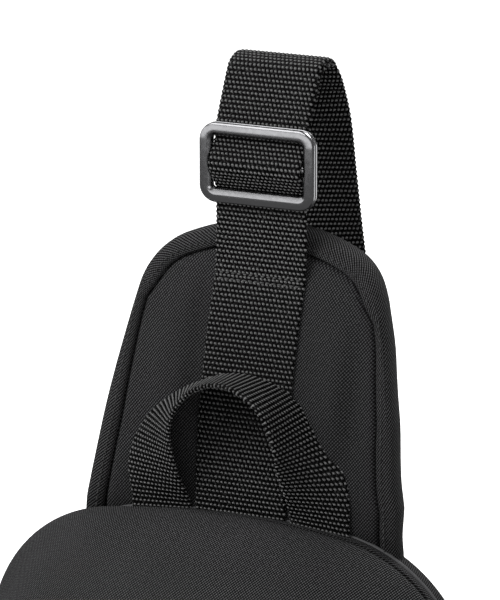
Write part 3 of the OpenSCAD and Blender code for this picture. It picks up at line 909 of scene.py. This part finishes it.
def pill(centre, long_axis, wide_axis, half, steps=8):
    """A rounded bar with half sizes along its long, wide and third axes, as one part for gather()."""
    long_axis, wide_axis = unit(np.asarray(long_axis, float)), unit(np.asarray(wide_axis, float))
    third = np.cross(long_axis, wide_axis)
    stations = [(-1, 0.45), (-0.86, 0.86), (-0.5, 1), (0.5, 1), (0.86, 0.86), (1, 0.45)]
    turn = np.arange(steps) * TAU / steps
    points = [centre + long_axis * half[0] * f + g * (wide_axis * half[1] * np.cos(turn)[:, None]
                                                      + third * half[2] * np.sin(turn)[:, None])
              for f, g in stations]
    return np.array(points), tube_faces(len(stations), steps)


def strip(name, line, across, width, out, material, thick=0.7):
    """A flat woven tape along a line, with rounded edges."""
    u = np.array([-1, -0.97, -0.8, -0.4, 0, 0.4, 0.8, 0.97, 1.0]) * width / 2
    lift = np.array([0.1, 0.35, 0.5, 0.5, 0.5, 0.5, 0.5, 0.35, 0.1]) * thick
    side = line[:, None] + across[:, None] * u[None, :, None]
    rise = out[:, None] * lift[None, :, None]
    rings = np.concatenate([side + rise, (side - rise)[:, ::-1]], 1)
    return loft(name, rings, material, grid_uv(np.concatenate([u, u[::-1]]), lengths(line)[:, None]))


def on_surface(piece, line, away):
    """The line's points moved on to the piece's skin, looked for from outside along -away."""
    landed = []
    for point, direction in zip(line, away):
        start, ray = Vector(put(point + direction * 12)), Vector(-direction)
        hit, where, _, _ = piece.ray_cast(start, ray, distance=30 * MM)
        landed.append(np.array(where) / MM - (0, DEPTH, 0) if hit else point)
    return np.array(landed)


def outline_ring(half, z_low, z_high, y, grow=0.0):
    """The body's outline at depth y, grown outwards, as points of the bag."""
    flat = arch_outline(half + grow, z_low - grow, z_high + grow)
    return np.column_stack([flat[:, 0], np.full(len(flat), float(y)), flat[:, 1]])


def panel_ring(y, grow=0.0):
    """The back panel's own outline."""
    return outline_ring(INNER_HALF, 0, INNER_TOP, y, grow)


def zip_path(z_from, inset, step=1.0):
    """The outline's part above z_from, from its right end over the top to its left end, with outward
    directions."""
    flat = arch_outline(INNER_HALF - inset, inset, INNER_TOP - inset, count=1200)
    ring = np.column_stack([flat[:, 0], np.full(len(flat), ZIP_Y), flat[:, 1]])
    keep = ring[ring[:, 2] > z_from]
    order = np.argsort(np.arctan2(keep[:, 0], keep[:, 2] - BODY_MIDDLE[2]))[::-1]
    line = evenly(keep[order], step)
    ahead = unit(np.gradient(line, axis=0))
    out = unit(np.cross(ahead, (0, 1, 0)))
    if out[0, 0] < 0:
        out = -out
    return line, out


def teeth(name, line, out, cross, side, pitch=2.3, half=(1.7, 0.62, 0.75), middle=1.55):
    """One half of a coil: rounded teeth across the zip, on one side of the chain's middle."""
    s = lengths(line)
    first = 0.6 + (pitch / 2 if side > 0 else 0)
    parts = []
    for k in range(int(s[-1] / pitch)):
        where = first + k * pitch
        if where > s[-1]:
            break
        centre, up, over = (at(values, [where], s)[0] for values in (line, out, cross))
        parts.append(pill(centre + over * side * middle + up * 0.35, over, np.cross(up, over), half))
    return gather(name, parts, COIL)


# ---- Back panel, gusset and linings ------------------------------------------------

PIPING_R = 1.0
# How far in from the outline, and the depth, of the back cover's rings from its front edge to its face
BACK_RINGS = [(1.4, 0.25), (0.3, 0.6), (0.0, 1.8), (0.0, 6.0), (0.5, 8.2), (1.6, 9.8), (3.2, 10.6),
              (5.4, 10.9), (8.0, 10.6)]
# Centre, half width, half height, corner radius and crown of each breathable pad
BACK_PADS = {"left": ((-43, 140), 33, 66, 14, 4.6), "right": ((43, 140), 33, 66, 14, 4.6),
             "top": ((0, 245), 58, 30, 18, 4.2), "lumbar": ((-3, 41), 50, 20, 12, 4.0)}
# Inset of a pad's rings and how much of its crown each has
PAD_STATIONS = [(0, -0.35), (0, 0.0), (0.35, 0.3), (1.2, 0.58), (2.8, 0.8), (5.2, 0.93), (8.5, 1.0)]


def puffed(piece, seam_y, cap=2.5, pressure=4.0, frames=20):
    """A pad's cloth blown out by simulation, each point by cap at most; points nearer the panel than
    seam_y are sewn down."""
    count = len(piece.data.vertices)
    before, after = np.empty(count * 3), np.empty(count * 3)
    piece.data.vertices.foreach_get("co", before)
    seam = piece.vertex_groups.new(name="seam")
    sewn = np.flatnonzero(before[1::3] / MM - DEPTH < seam_y)
    seam.add(sewn.tolist(), 1.0, "REPLACE")
    cloth = piece.modifiers.new("cloth", "CLOTH")
    cloth.settings.vertex_group_mass = "seam"
    cloth.settings.use_pressure = True
    cloth.settings.uniform_pressure_force = pressure
    cloth.settings.effector_weights.gravity = 0
    cloth.point_cache.frame_start, cloth.point_cache.frame_end = 1, frames
    for frame in range(1, frames + 1):
        bpy.context.scene.frame_set(frame)
    piece.evaluated_get(bpy.context.evaluated_depsgraph_get()).data.vertices.foreach_get("co", after)
    move = (after - before).reshape(-1, 3)
    reach = np.linalg.norm(move, axis=1, keepdims=True) / (cap * MM)
    move /= np.maximum(reach, 1)
    piece.modifiers.remove(cloth)
    piece.vertex_groups.remove(seam)
    piece.data.vertices.foreach_set("co", before + move.ravel())
    piece.data.update()
    bpy.context.scene.frame_set(1)
    return piece


def make_back_pad(name, place, half_x, half_z, radius, crown):
    """One breathable pad on the back cover, and the line of its seam."""
    x, z = place
    centre = np.array((x, 0, z))
    spine = np.array((max(half_x - half_z, 0), 0, max(half_z - half_x, 0)))
    rings = []
    for inset, lift in PAD_STATIONS:
        outer, _ = rounded_loop(half_x - inset, half_z - inset, max(radius - inset * 0.6, 3.0), steps=14)
        rings.append(outer + (x, BACK_T - 1.2 + crown * lift, z))
    hold = centre + np.sign(rings[-1] - centre) * spine
    rows = filled(rings, hold, 0.5, 10, power=1, last=0.04)
    rows[..., 1] += wobble(rows, 26, 0.8, seed=7.0) * smooth(rows[..., 1], BACK_T, BACK_T + 2)
    pad = puffed(mend(loft("back_pad_" + name, rows, AIR_MESH, rows[..., [0, 2]])), BACK_T + 0.4)
    dress(pad, "bag", "back_mesh")
    seam, _ = rounded_loop(half_x + 1.8, half_z + 1.8, radius + 1.8)
    return looped(seam + (x, BACK_T - 0.35, z), 1.0)


def make_back():
    rows = filled([panel_ring(y, -sunk) for sunk, y in BACK_RINGS], BODY_MIDDLE, -0.4)
    rows = rows + wobble(rows, 45, 0.7, seed=3.0)[..., None] * (0, 1, 0) * smooth(rows[..., 1:2], 8, 10.5)
    rows[0, :, 1] = BACK_RINGS[0][1]
    cover = loft("back_cover", rows, BODY_CLOTH, polar_uv(rows, BODY_MIDDLE))
    dress(cover, "bag", "body_cloth", "back_panel", "back_foam")
    seams = [make_back_pad(name, *sizes) for name, sizes in BACK_PADS.items()]
    runs = [(seam, each((0, 1, 0), seam)) for seam in seams]
    dress(stitches("back_stitches", runs, radius=0.28, lift=0.25), "bag", "body_cloth")
    cords = [pipe(panel_ring(0.6, -0.3), PIPING_R, closed=True)]
    dress(gather("back_piping", cords, BAND_CLOTH), "bag", "binding_cloth")


def band(name, rows_out, rows_in, material):
    """A closed band with an outer and an inner skin, each a list of rings."""
    rows = np.array([*rows_out, *rows_in[::-1]])
    faces = [grid_faces(*rows.shape[:2], wrap=True, ring=True)]
    return new_mesh(name, rows, faces, material, grid_uv(lengths(rows[:, 3])[:, None], lengths(rows[0])))


def make_fold():
    """The cloth strip between gusset and shell under the zip's ends, at the hinge."""
    flat = arch_outline(INNER_HALF, 0, INNER_TOP, count=900)
    low_part = flat[flat[:, 1] < ZIP_END_Z + 1]
    hub = np.array((0, 60.0))
    order = np.argsort(np.arctan2(low_part[:, 0], hub[1] - low_part[:, 1]))
    line = evenly(low_part[order], 1.6)
    ahead = unit(np.gradient(line, axis=0))
    out = np.column_stack([ahead[:, 1], -ahead[:, 0]])
    out *= np.sign(np.einsum("ij,ij->i", out, line - hub))[:, None]
    depths = np.linspace(GUSSET_Y + 0.6, RIM_Y - 0.6, 11)
    shape = np.sin(np.linspace(0, math.pi, len(depths)))
    skins = []
    for level, order_y in ((0.15, depths), (-1.15, depths[::-1])):
        for y, b in zip(order_y, shape):
            flat_points = line + out * (level + 0.5 * b - 0.2)
            skins.append(np.column_stack([flat_points[:, 0], np.full(len(line), y), flat_points[:, 1]]))
    rows = np.array(skins).transpose(1, 0, 2)
    uv = grid_uv(lengths(line)[:, None], np.linspace(0, 20, rows.shape[1]))
    fold = loft("fold_gusset", rows, BODY_CLOTH, uv)
    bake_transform(fold)


def make_gusset():
    """The narrow wall between the back panel and the zip."""
    depths = np.linspace(0.4, GUSSET_Y + 0.3, 4)
    bow = 0.25 * np.sin(np.linspace(0, math.pi, len(depths)))
    rows_out = [panel_ring(y, b - 0.05) for y, b in zip(depths, bow)]
    rows_in = [panel_ring(y, -1.6) for y in depths]
    dress(band("gusset_cloth", rows_out, rows_in, BAND_CLOTH), "bag", "body_cloth", "rear_gusset")


def make_back_lining():
    """The pale lining over the back panel, seen when the body is open."""
    rings = [outline_ring(INNER_HALF - 2.0, 2.0, INNER_TOP - 2, y, -g)
             for g, y in ((0.6, -0.12), (0.2, -0.35), (1.2, -0.72))]
    rows = filled(rings, BODY_MIDDLE, steps=26)
    rows[3:, :, 1] += wobble(rows[3:], 48, 0.5, seed=11.0) - 0.2
    lining = loft("back_lining_cloth", rows, LINING, rows[..., [0, 2]])
    dress(lining, "bag", "lining", "back_lining")


def make_front_lining():
    """The lining inside the shell, and the cord along the shell's rim."""
    outer, inside = dome_rings(2.3), dome_rings(3.1)
    forward = smooth(-outer[..., 1:2], 16, 34)
    rumple = wobble(outer, 38, 1.2, seed=13.0)[..., None] * (0.3, 0.6, 0.3) * forward
    toward = unit(DOME_CENTRE - inside)
    rows = np.concatenate([outer[::-1], inside + toward * np.abs(rumple).sum(-1, keepdims=True)])
    lining = loft("front_lining_cloth", rows, LINING, polar_uv(rows, DOME_CENTRE))
    dress(lining, "front", "lining", "front_lining")
    cords = [pipe(panel_ring(RIM_Y - 0.6, -0.8), PIPING_R, closed=True)]
    dress(gather("front_piping", cords, BAND_CLOTH), "front", "binding_cloth")


make_back()
make_gusset()
make_fold()
make_back_lining()
make_front_lining()

# ---- Zips --------------------------------------------------------------------------

TAPE_HALF = 4.4


def make_zip(name, line, out, cross, rear_body, front_body, rear_node, front_node):
    """A closed coil zip: a tape and teeth on each side of the line."""
    for side, body, target in ((1, rear_body, rear_node), (-1, front_body, front_node)):
        label = name + ("_rear" if side > 0 else "_front")
        middle = line + cross * side * (TAPE_HALF + 0.35) / 2
        tape = strip(label + "_tape", middle, cross, TAPE_HALF - 0.35, out, TAPE)
        dress(tape, body, "zip_tape", target)
        dress(teeth(label + "_teeth", line, out, cross, side), body, "zip_tape")


def make_main_zip():
    line, out = zip_path(ZIP_END_Z, 0.9)
    cross = each((0, 1, 0), line)
    make_zip("main_zip", line, out, cross, "bag", "front", "main_zip_rear", "main_zip_front")
    _, y, z = (low("zip_stops") + high("zip_stops")) / 2
    stops = [pill(np.array((x, y, z)), (0, 1, 0), (0, 0, 1), (1.6, 1.2, 0.9), 12)
             for x in (INNER_HALF + 0.1, -INNER_HALF - 0.1)]
    dress(gather("main_zip_stops", stops, ZIP_METAL), "bag", "zip_metal", "zip_stops")


make_main_zip()

# ---- Pocket ------------------------------------------------------------------------

POCKET_HALF = POCKET_HIGH[0]
POCKET_CORNER = 14.0
POCKET_MIDDLE = np.array((0, 0, (POCKET_LOW[2] + POCKET_HIGH[2]) / 2))
POCKET_HALF_Z = (POCKET_HIGH[2] - POCKET_LOW[2]) / 2
# The two halves of the pocket's zip, the one nearer the shell first
POCKET_ZIP_NODES = sorted(("pocket_zip_lower", "pocket_zip_upper"), key=lambda name: -high(name)[1])
POCKET_ZIP_Y = (low(POCKET_ZIP_NODES[1])[1] + high(POCKET_ZIP_NODES[0])[1]) / 2
POCKET_ZIP_Z = POCKET_HIGH[2] - 0.8
POCKET_ZIP_HALF = high("pocket_zip_upper")[0]
POCKET_PUFF = 2.6
# Depth from the shell's face, inset of the sides, and drop of the top edge, of the pocket's rings
POCKET_RINGS = [(-5.0, 0.6, 0.2), (0.5, 0.0, 0.0), (1.0, 0.0, 0.2), (1.3, 0.0, 1.7), (10.0, 0.0, 1.7),
                (10.3, 0.1, 0.3), (11.0, 0.5, 0.1), (11.8, 1.4, 0.7), (12.3, 3.0, 2.2), (12.45, 4.6, 4.0)]

# The ring that the cord round the pocket's face lies on, and the face's depth from the shell
POCKET_RIM = 7
POCKET_FACE = 12.6


def pocket_rings():
    rings = []
    top_z = POCKET_MIDDLE[2] + POCKET_HALF_Z
    for depth, inset, drop in POCKET_RINGS:
        outer, _ = rounded_loop(POCKET_HALF - inset, POCKET_HALF_Z - inset / 2, POCKET_CORNER - inset / 2, 26)
        ring = outer + POCKET_MIDDLE + (0, POCKET_HIGH[1] - depth, 0)
        top = smooth(ring[:, 2], top_z - POCKET_CORNER, top_z - 2)
        ring[:, 2] += inset / 2 * np.sign(POCKET_MIDDLE[2] - ring[:, 2]) * (top == 0) - drop * top
        rings.append(ring)
    return np.array(rings)


def make_pocket():
    rear = POCKET_HIGH[1]
    rings = pocket_rings()
    rows = filled(rings, POCKET_MIDDLE, -POCKET_PUFF, 24, power=2.2)
    face = smooth(-rows[..., 1], -rear + 11, -rear + 13)
    ripple = 0.7 * face * np.sin(rows[..., 0] / 17 + rows[..., 2] / 31)
    rows[..., 1] += wobble(rows, 34, 1.1, seed=21.0) * face + ripple
    pocket = loft("pocket_cloth", rows, BODY_CLOTH, polar_uv(rows, POCKET_MIDDLE))
    dress(pocket, "front", "body_cloth", "pocket_panel")
    seam = looped(rings[0] + (0, -8, 0), 1.5)[:-1] * (1.012, 1, 1)
    seam = on_surface(bpy.data.objects["shell_cloth"], seam, each((0, -1, 0), seam))
    rim = looped(rings[POCKET_RIM] + (0, -0.15, 0), 1.5)[:-1]
    cords = [pipe(seam, 1.2, closed=True), pipe(rim, 0.95, closed=True)]
    dress(gather("pocket_piping", cords, BAND_CLOTH), "front", "binding_cloth")
    make_pocket_stitches(pocket)


def make_pocket_stitches(pocket):
    runs = []
    for inset in (4.6, 7.0):
        outer, _ = rounded_loop(POCKET_HALF - inset, POCKET_HALF_Z - inset, POCKET_CORNER - inset / 2, 20)
        seam = looped(outer + POCKET_MIDDLE + (0, POCKET_HIGH[1] - POCKET_FACE, 0), 1.0)
        away = each((0, -1, 0), seam)
        runs.append((on_surface(pocket, seam, away), away))
    dress(stitches("pocket_stitches", runs, radius=0.28, lift=0.2), "front", "body_cloth")


def make_pocket_zip():
    ends = np.array([(x, POCKET_ZIP_Y, POCKET_ZIP_Z) for x in (-POCKET_ZIP_HALF, POCKET_ZIP_HALF)])
    line = evenly(ends, 1.0)
    make_zip("pocket_zip", line, each((0, 0, 1), line), each((0, 1, 0), line), "front", "front",
             *POCKET_ZIP_NODES)


make_pocket()
make_pocket_zip()

# ---- Zip sliders and pulls ---------------------------------------------------------

PULL_PIVOT = np.array((-1.6, 0, 2.95))
ZIP_LINE_X = INNER_HALF - 0.8
MAIN_SLIDER_Z = (low("main_zip_slider")[2] + high("main_zip_slider")[2]) / 2
POCKET_SLIDER_X = (low("pocket_zip_slider")[0] + high("pocket_zip_slider")[0]) / 2
# One side of the wedge between a slider's plates, and of a pull's tab, from tip to tip as [x, y]
WEDGE_SIDE = [(-4.9, 0), (-4.4, 0.75), (-3.4, 0.9), (-2.7, 0)]
TAB_SIDE = [(-7.5, 0), (-7.6, 1.7), (-8.4, 2.2), (-12, 2.35), (-18, 2.8), (-24, 3.0), (-25.6, 2.1), (-26, 0)]


def plate(outline, z0, z1, bevel, hole=None):
    """A flat plate with bevelled rims from an [x, y] outline, with a round hole if one is given as
    (x, radius)."""
    centre = outline.mean(axis=0)
    levels = [(0.0, z0), (1.0, z0 + bevel), (1.0, z1 - bevel), (0.0, z1)]

    def ring(points, z, grow, sign):
        shift = unit(points - (centre if sign > 0 else np.array((hole[0], 0))))
        return np.column_stack([points - shift * bevel * (1 - grow) * sign, np.full(len(points), z)])

    rows = [ring(outline, z, g, 1) for g, z in levels]
    count = len(outline)
    if hole is None:
        return np.array(rows), tube_faces(len(rows), count)
    turn = np.arctan2(outline[:, 1], outline[:, 0] - hole[0])
    bore = np.column_stack([hole[0] + hole[1] * np.cos(turn), hole[1] * np.sin(turn)])
    rows += [ring(bore, z, g, -1) for g, z in levels[::-1]]
    rows.append(rows[0])
    return np.array(rows), [grid_faces(len(rows), count, wrap=True)]


def mirrored(side):
    """An [x, y] outline from one side of it, mirrored over y = 0."""
    side = np.array(side, float)
    return np.vstack([side, side[-2::-1] * (1, -1)])


def slider_outline(length, half_y, nose):
    """A zip slider's plate: broad at its two mouths and rounded, narrower at its tail."""
    x = length / 2
    side = [(-x, -nose), (-x + 0.5, -nose - 0.5), (-x * 0.2, -half_y * 0.86), (x * 0.55, -half_y),
            (x - 0.9, -half_y * 0.97), (x - 0.15, -half_y * 0.7), (x, -half_y * 0.4), (x - 0.5, 0)]
    return evenly(spline(mirrored(side), 5), 0.45)


def slider_parts():
    """The body of a zip slider, about its own middle: x along the zip, y across, z out."""
    shape = slider_outline(length=10, half_y=3.9, nose=2.2)
    parts = [plate(shape, 1.05, 2.15, bevel=0.3), plate(shape, -2.15, -1.05, bevel=0.3)]
    wedge = evenly(spline(mirrored(WEDGE_SIDE), 5), 0.3)[:-1]
    parts.append(plate(wedge, -1.1, 1.1, bevel=0.05))
    arch = spline([(-3.4, 0, 1.9), (-3.45, 0, 3.1), (-2.7, 0, 4.05), (-1.2, 0, 4.35), (1.2, 0, 4.35),
                   (2.7, 0, 4.05), (3.45, 0, 3.1), (3.4, 0, 1.9)], 8)
    points, faces = pipe(arch, 0.55, around=12)
    parts.append((points * (1, 1.5, 1), faces))
    for side in (1, -1):
        lip = spline([(x, side * y, 0) for x, y in ((-3.6, 2.9), (-1, 3.25), (2.4, 3.75), (4.2, 3.5))], 6)
        for level in (1.05, -1.05):
            parts.append(pipe(lip + (0, 0, level), 0.42, around=12))
    return parts


def pull_parts():
    """The pull, lying back along -x from its pivot: a cross pin, two arms and a holed tab with grip ribs."""
    x0, z = PULL_PIVOT[0], PULL_PIVOT[2]
    parts = [pipe([(x0, -2.3, z), (x0, 0, z), (x0, 2.3, z)], 0.6, around=12)]
    for side in (1, -1):
        arm = spline([(x, side * y, z) for x, y in ((x0, 1.9), (-4, 1.95), (-6.4, 1.9), (-8.2, 1.6))], 6)
        parts.append(pipe(arm, 0.6, around=12))
    tab = evenly(spline(mirrored(TAB_SIDE), 6), 0.5)[:-1]
    parts.append(plate(tab, z - 0.6, z + 0.6, bevel=0.28, hole=(-22.6, 1.45)))
    for x in (-10.5, -12.4, -14.3, -16.2):
        for level in (0.58, -0.58):
            parts.append(pill(np.array((x, 0, z + level)), (0, 1, 0), (1, 0, 0), (1.7, 0.42, 0.24)))
    return parts


def placed(parts, x_axis, y_axis, origin, turned=False):
    """Parts moved from the slider's frame to the bag's; turned swings the pull over its pivot."""
    x_axis, y_axis = np.array(x_axis, float), np.array(y_axis, float)
    z_axis = np.cross(x_axis, y_axis)
    moved = []
    for points, faces in parts:
        points = np.asarray(points, float).reshape(-1, 3)
        if turned:
            points = PULL_PIVOT + (points - PULL_PIVOT) * (-1, 1, -1)
        moved.append((origin + points @ np.array([x_axis, y_axis, z_axis]), faces))
    return moved


def make_zip_hardware():
    main_at = np.array((ZIP_LINE_X, ZIP_Y, MAIN_SLIDER_Z))
    pocket_at = np.array((POCKET_SLIDER_X, POCKET_ZIP_Y, POCKET_ZIP_Z))
    for name, axes, origin, turned in (("main", ((0, 0, 1), (0, -1, 0)), main_at, False),
                                       ("pocket", ((1, 0, 0), (0, 1, 0)), pocket_at, True)):
        body = gather(name + "_slider_body", placed(slider_parts(), *axes, origin), ZIP_METAL, sharp=32)
        dress(body, name + "_slider", "zip_metal", name + "_zip_slider")
        pull = gather(name + "_pull_tab", placed(pull_parts(), *axes, origin, turned), ZIP_METAL, sharp=32)
        dress(pull, name + "_pull", "zip_metal", name + "_zip_pull")


make_zip_hardware()

# ---- Wing tab, stitching on the webbing and the base board --------------------------

TAB_CORNERS = np.array([[(60.9, 15, 51), (96.6, 18.6, 62.4)], [(58, 11.1, 4), (92, 11.1, 34)]])
TAB_T = 3.2
TAB_ACROSS, TAB_DOWN = 35, 45


def tab_point(u, v):
    """The tab's middle layer at shares u across it and v down it."""
    (a, b), (c, d) = TAB_CORNERS
    u, v = np.asarray(u)[..., None], np.asarray(v)[..., None]
    return (1 - v) * ((1 - u) * a + u * b) + v * ((1 - u) * c + u * d)


def make_tab():
    """The cloth tab under the strap's end, padded and sewn to the corner of the back panel."""
    across, down = 22, 26
    u, v = np.meshgrid(np.linspace(0, 1, across), np.linspace(0, 1, down))
    (a, b), (c, _) = TAB_CORNERS
    normal = unit(np.cross(b - a, c - a))
    normal = normal * np.sign(normal[1])
    rim = np.minimum(np.minimum(u, 1 - u) * TAB_ACROSS, np.minimum(v, 1 - v) * TAB_DOWN)
    body = np.sqrt(np.clip(1 - (1 - np.clip(rim / 1.8, 0, 1)) ** 2, 0.02, 1))
    seam = -0.5 * np.exp(-((rim - 3.4) / 0.8) ** 2)
    lift = (TAB_T / 2) * body + seam + 0.5 * smooth(rim, 4, 9)
    top = tab_point(u, v) + normal * lift[..., None]
    bottom = tab_point(u, v) - normal * (TAB_T / 2 * body)[..., None]
    rows = np.concatenate([top, bottom[:, ::-1]], 1)
    weave = np.stack([u * (TAB_ACROSS + 2), v * (TAB_DOWN + 2)], -1)
    count = rows.shape[1]
    k = np.arange(across - 1)
    cap = np.stack([k, k + 1, count - 2 - k, count - 1 - k], 1)
    faces = np.vstack([grid_faces(down, count, wrap=True), cap, cap[:, ::-1] + (down - 1) * count])
    tab = new_mesh("wing_tab_cloth", rows, [faces], BODY_CLOTH, np.concatenate([weave, weave[:, ::-1]], 1))
    dress(tab, "bag", "body_cloth", "wing_tab")
    sewn = tab_point((0.1, 0.1, 0.9, 0.9), (0.08, 0.92, 0.92, 0.08))
    sewn = evenly(sewn, 1.0) + normal * (TAB_T / 2 - 0.3)
    stitching = stitches("wing_tab_stitches", [(sewn, each(normal, sewn))], radius=0.28)
    dress(stitching, "bag", "body_cloth")


def sew_box(name, middles, half, normal):
    """A sewn box with its two diagonals on the webbing: middles of its two ends, and half its width as
    a vector."""
    low_mid, high_mid = middles
    p = np.array([low_mid - half, low_mid + half, high_mid + half, high_mid - half])
    ways = [p[[i, (i + 1) % 4]] for i in range(4)] + [p[[0, 2]], p[[1, 3]]]
    runs = [evenly(way, 1.0) for way in ways]
    piece = stitches(name, [(run, each(normal, run)) for run in runs], length=1.8, gap=0.9, radius=0.32,
                     thread=PALE_THREAD)
    dress(piece, "bag", "webbing")


def make_webbing_stitches():
    """Rows sewn across the webbing where it leaves the yoke, and the boxes on the strap's two ends."""
    runs = []
    half = STRAP_W / 2 - 1.6
    for z in (WEB_LIFT_Z + 1.4, WEB_LIFT_Z - 0.8):
        y = on_yoke(z, YOKE_R + WEB_T + 0.25)
        line = evenly(np.array([(-half, y, z), (half, y, z)]), 1.0)
        runs.append((line, each((0, -1, 0.1), line)))
    piece = stitches("webbing_stitches", runs, length=1.7, gap=0.8, radius=0.36, lift=0.2, thread=PALE_THREAD)
    dress(piece, "bag", "webbing")
    high_end, _, low_end = np.array(STRAP_ROUTE[-3:])
    ahead = unit(low_end - high_end)
    side = unit(np.array((1.0, 0, 0)) - ahead * ahead[0])
    up = unit(np.cross(ahead, side))
    up = up * np.sign(up[1])
    centre = high_end + ahead * 8.5 + up * 0.95
    sew_box("strap_end_stitches", (centre - ahead * 8, centre + ahead * 8), side * (half - 1), up)
    (y1, z1), (y0, z0) = WEB_TOP[-2:]
    out = unit(np.array((0.0, z1 - z0, y0 - y1)))
    ends = [np.array((0, y, z)) + out * (WEB_T / 2 + 0.2)
            for y, z in ((y0 - 0.18, z0 + 3), (y1 + 0.12, z1 - 1))]
    sew_box("tail_stitches", ends, np.array((half, 0, 0)), out)


def board_material():
    made, tree, shader = speckled("board", 0.55, 90.0, grey(0.016, 0.017), grey(0.034, 0.035), detail=3.0)
    grain = place_noise(tree, 900.0, 2.0)
    relief = node(tree, "ShaderNodeBump", {"Strength": 0.3, "Distance": 0.1 * MM, "Height": grain})
    tree.links.new(relief.outputs[0], shader.inputs["Normal"])
    return made


make_tab()
make_webbing_stitches()
frame["nodes"]["base_board"].data.materials.clear()
frame["nodes"]["base_board"].data.materials.append(board_material())

# ---- Stage and light ---------------------------------------------------------------

WHITE = (1, 1, 1, 1)
# Strength of the sky on the object, and in its mirror images
SKY = 0.32
MIRRORED_SKY = 0.16
FLOOR_GLOW = 0.8
FLOOR_HALF = 12000.0
# Direction and distance from the slider, half sizes and glow of each card that only mirrors in gloss
REFLECTORS = [("front_card", (-0.42, -0.88, 0.21), 900, (900, 270), 1.5),
              ("top_card", (-0.41, -0.24, 0.88), 900, (700, 330), 2.8),
              ("rear_card", (0.41, 0.87, -0.22), 900, (260, 200), 1.6)]


def card(name, middle, side, up, made):
    """A flat rectangle with these half sides."""
    corners = [middle - side - up, middle + side - up, middle + side + up, middle - side + up]
    return new_mesh(name, corners, [np.array([[0, 1, 2, 3]])], made, closed=False)


def seen_only(tree):
    """1 for what the camera sees directly and 0 for light that the scene throws on the object."""
    return node(tree, "ShaderNodeLightPath").outputs["Is Camera Ray"]


def reflector(name, direction, distance, half, glow):
    made, _, shader = surface(name, 1.0)
    shader.inputs["Base Color"].default_value = (*grey(0.01), 1)
    shader.inputs["Emission Color"].default_value = WHITE
    shader.inputs["Emission Strength"].default_value = glow
    away = unit(np.array(direction)) * distance
    side = unit(np.cross(away, (0, 0, 1)))
    up = np.cross(side, unit(away))
    made_card = card(name, away + (0, 0, SLIDER_Z), side * half[0], up * half[1], made)
    made_card.visible_camera = made_card.visible_diffuse = made_card.visible_shadow = False
    return made_card


def make_floor():
    made, tree, shader = speckled("floor", 0.9, 3.0, grey(0.8), grey(0.84))
    shader.inputs["Emission Color"].default_value = WHITE
    tree.links.new(maths(tree, "MULTIPLY", seen_only(tree), FLOOR_GLOW), shader.inputs["Emission Strength"])
    half = FLOOR_HALF * np.eye(3)
    floor = card("floor", np.zeros(3), half[0], half[1], made)
    floor.visible_glossy = False
    return floor


def make_sky():
    world = bpy.data.worlds.new("studio")
    world.use_nodes = True
    tree = world.node_tree
    sky = tree.nodes["Background"]
    sky.inputs[0].default_value = WHITE
    glossy = node(tree, "ShaderNodeLightPath").outputs["Is Glossy Ray"]
    level = maths(tree, "MULTIPLY_ADD", seen_only(tree), 1 - SKY, SKY)
    tree.links.new(maths(tree, "MULTIPLY_ADD", glossy, MIRRORED_SKY - SKY, level), sky.inputs[1])
    bpy.context.scene.world = world


def make_stage():
    floor = make_floor()
    cards = [reflector(*settings) for settings in REFLECTORS]
    make_sky()
    bpy.context.scene.view_settings.view_transform = "Standard"
    aim = put((0, 0, 330))
    area_light("key", put((-1200, -1300, 1900)), aim, (1.2, 1.2), 62, mirrored=False)
    area_light("fill", put((1600, -1200, 900)), aim, (1.0, 1.4), 9)
    area_light("rim", put((200, 1300, 1700)), aim, (1.4, 0.8), 30)


make_stage()
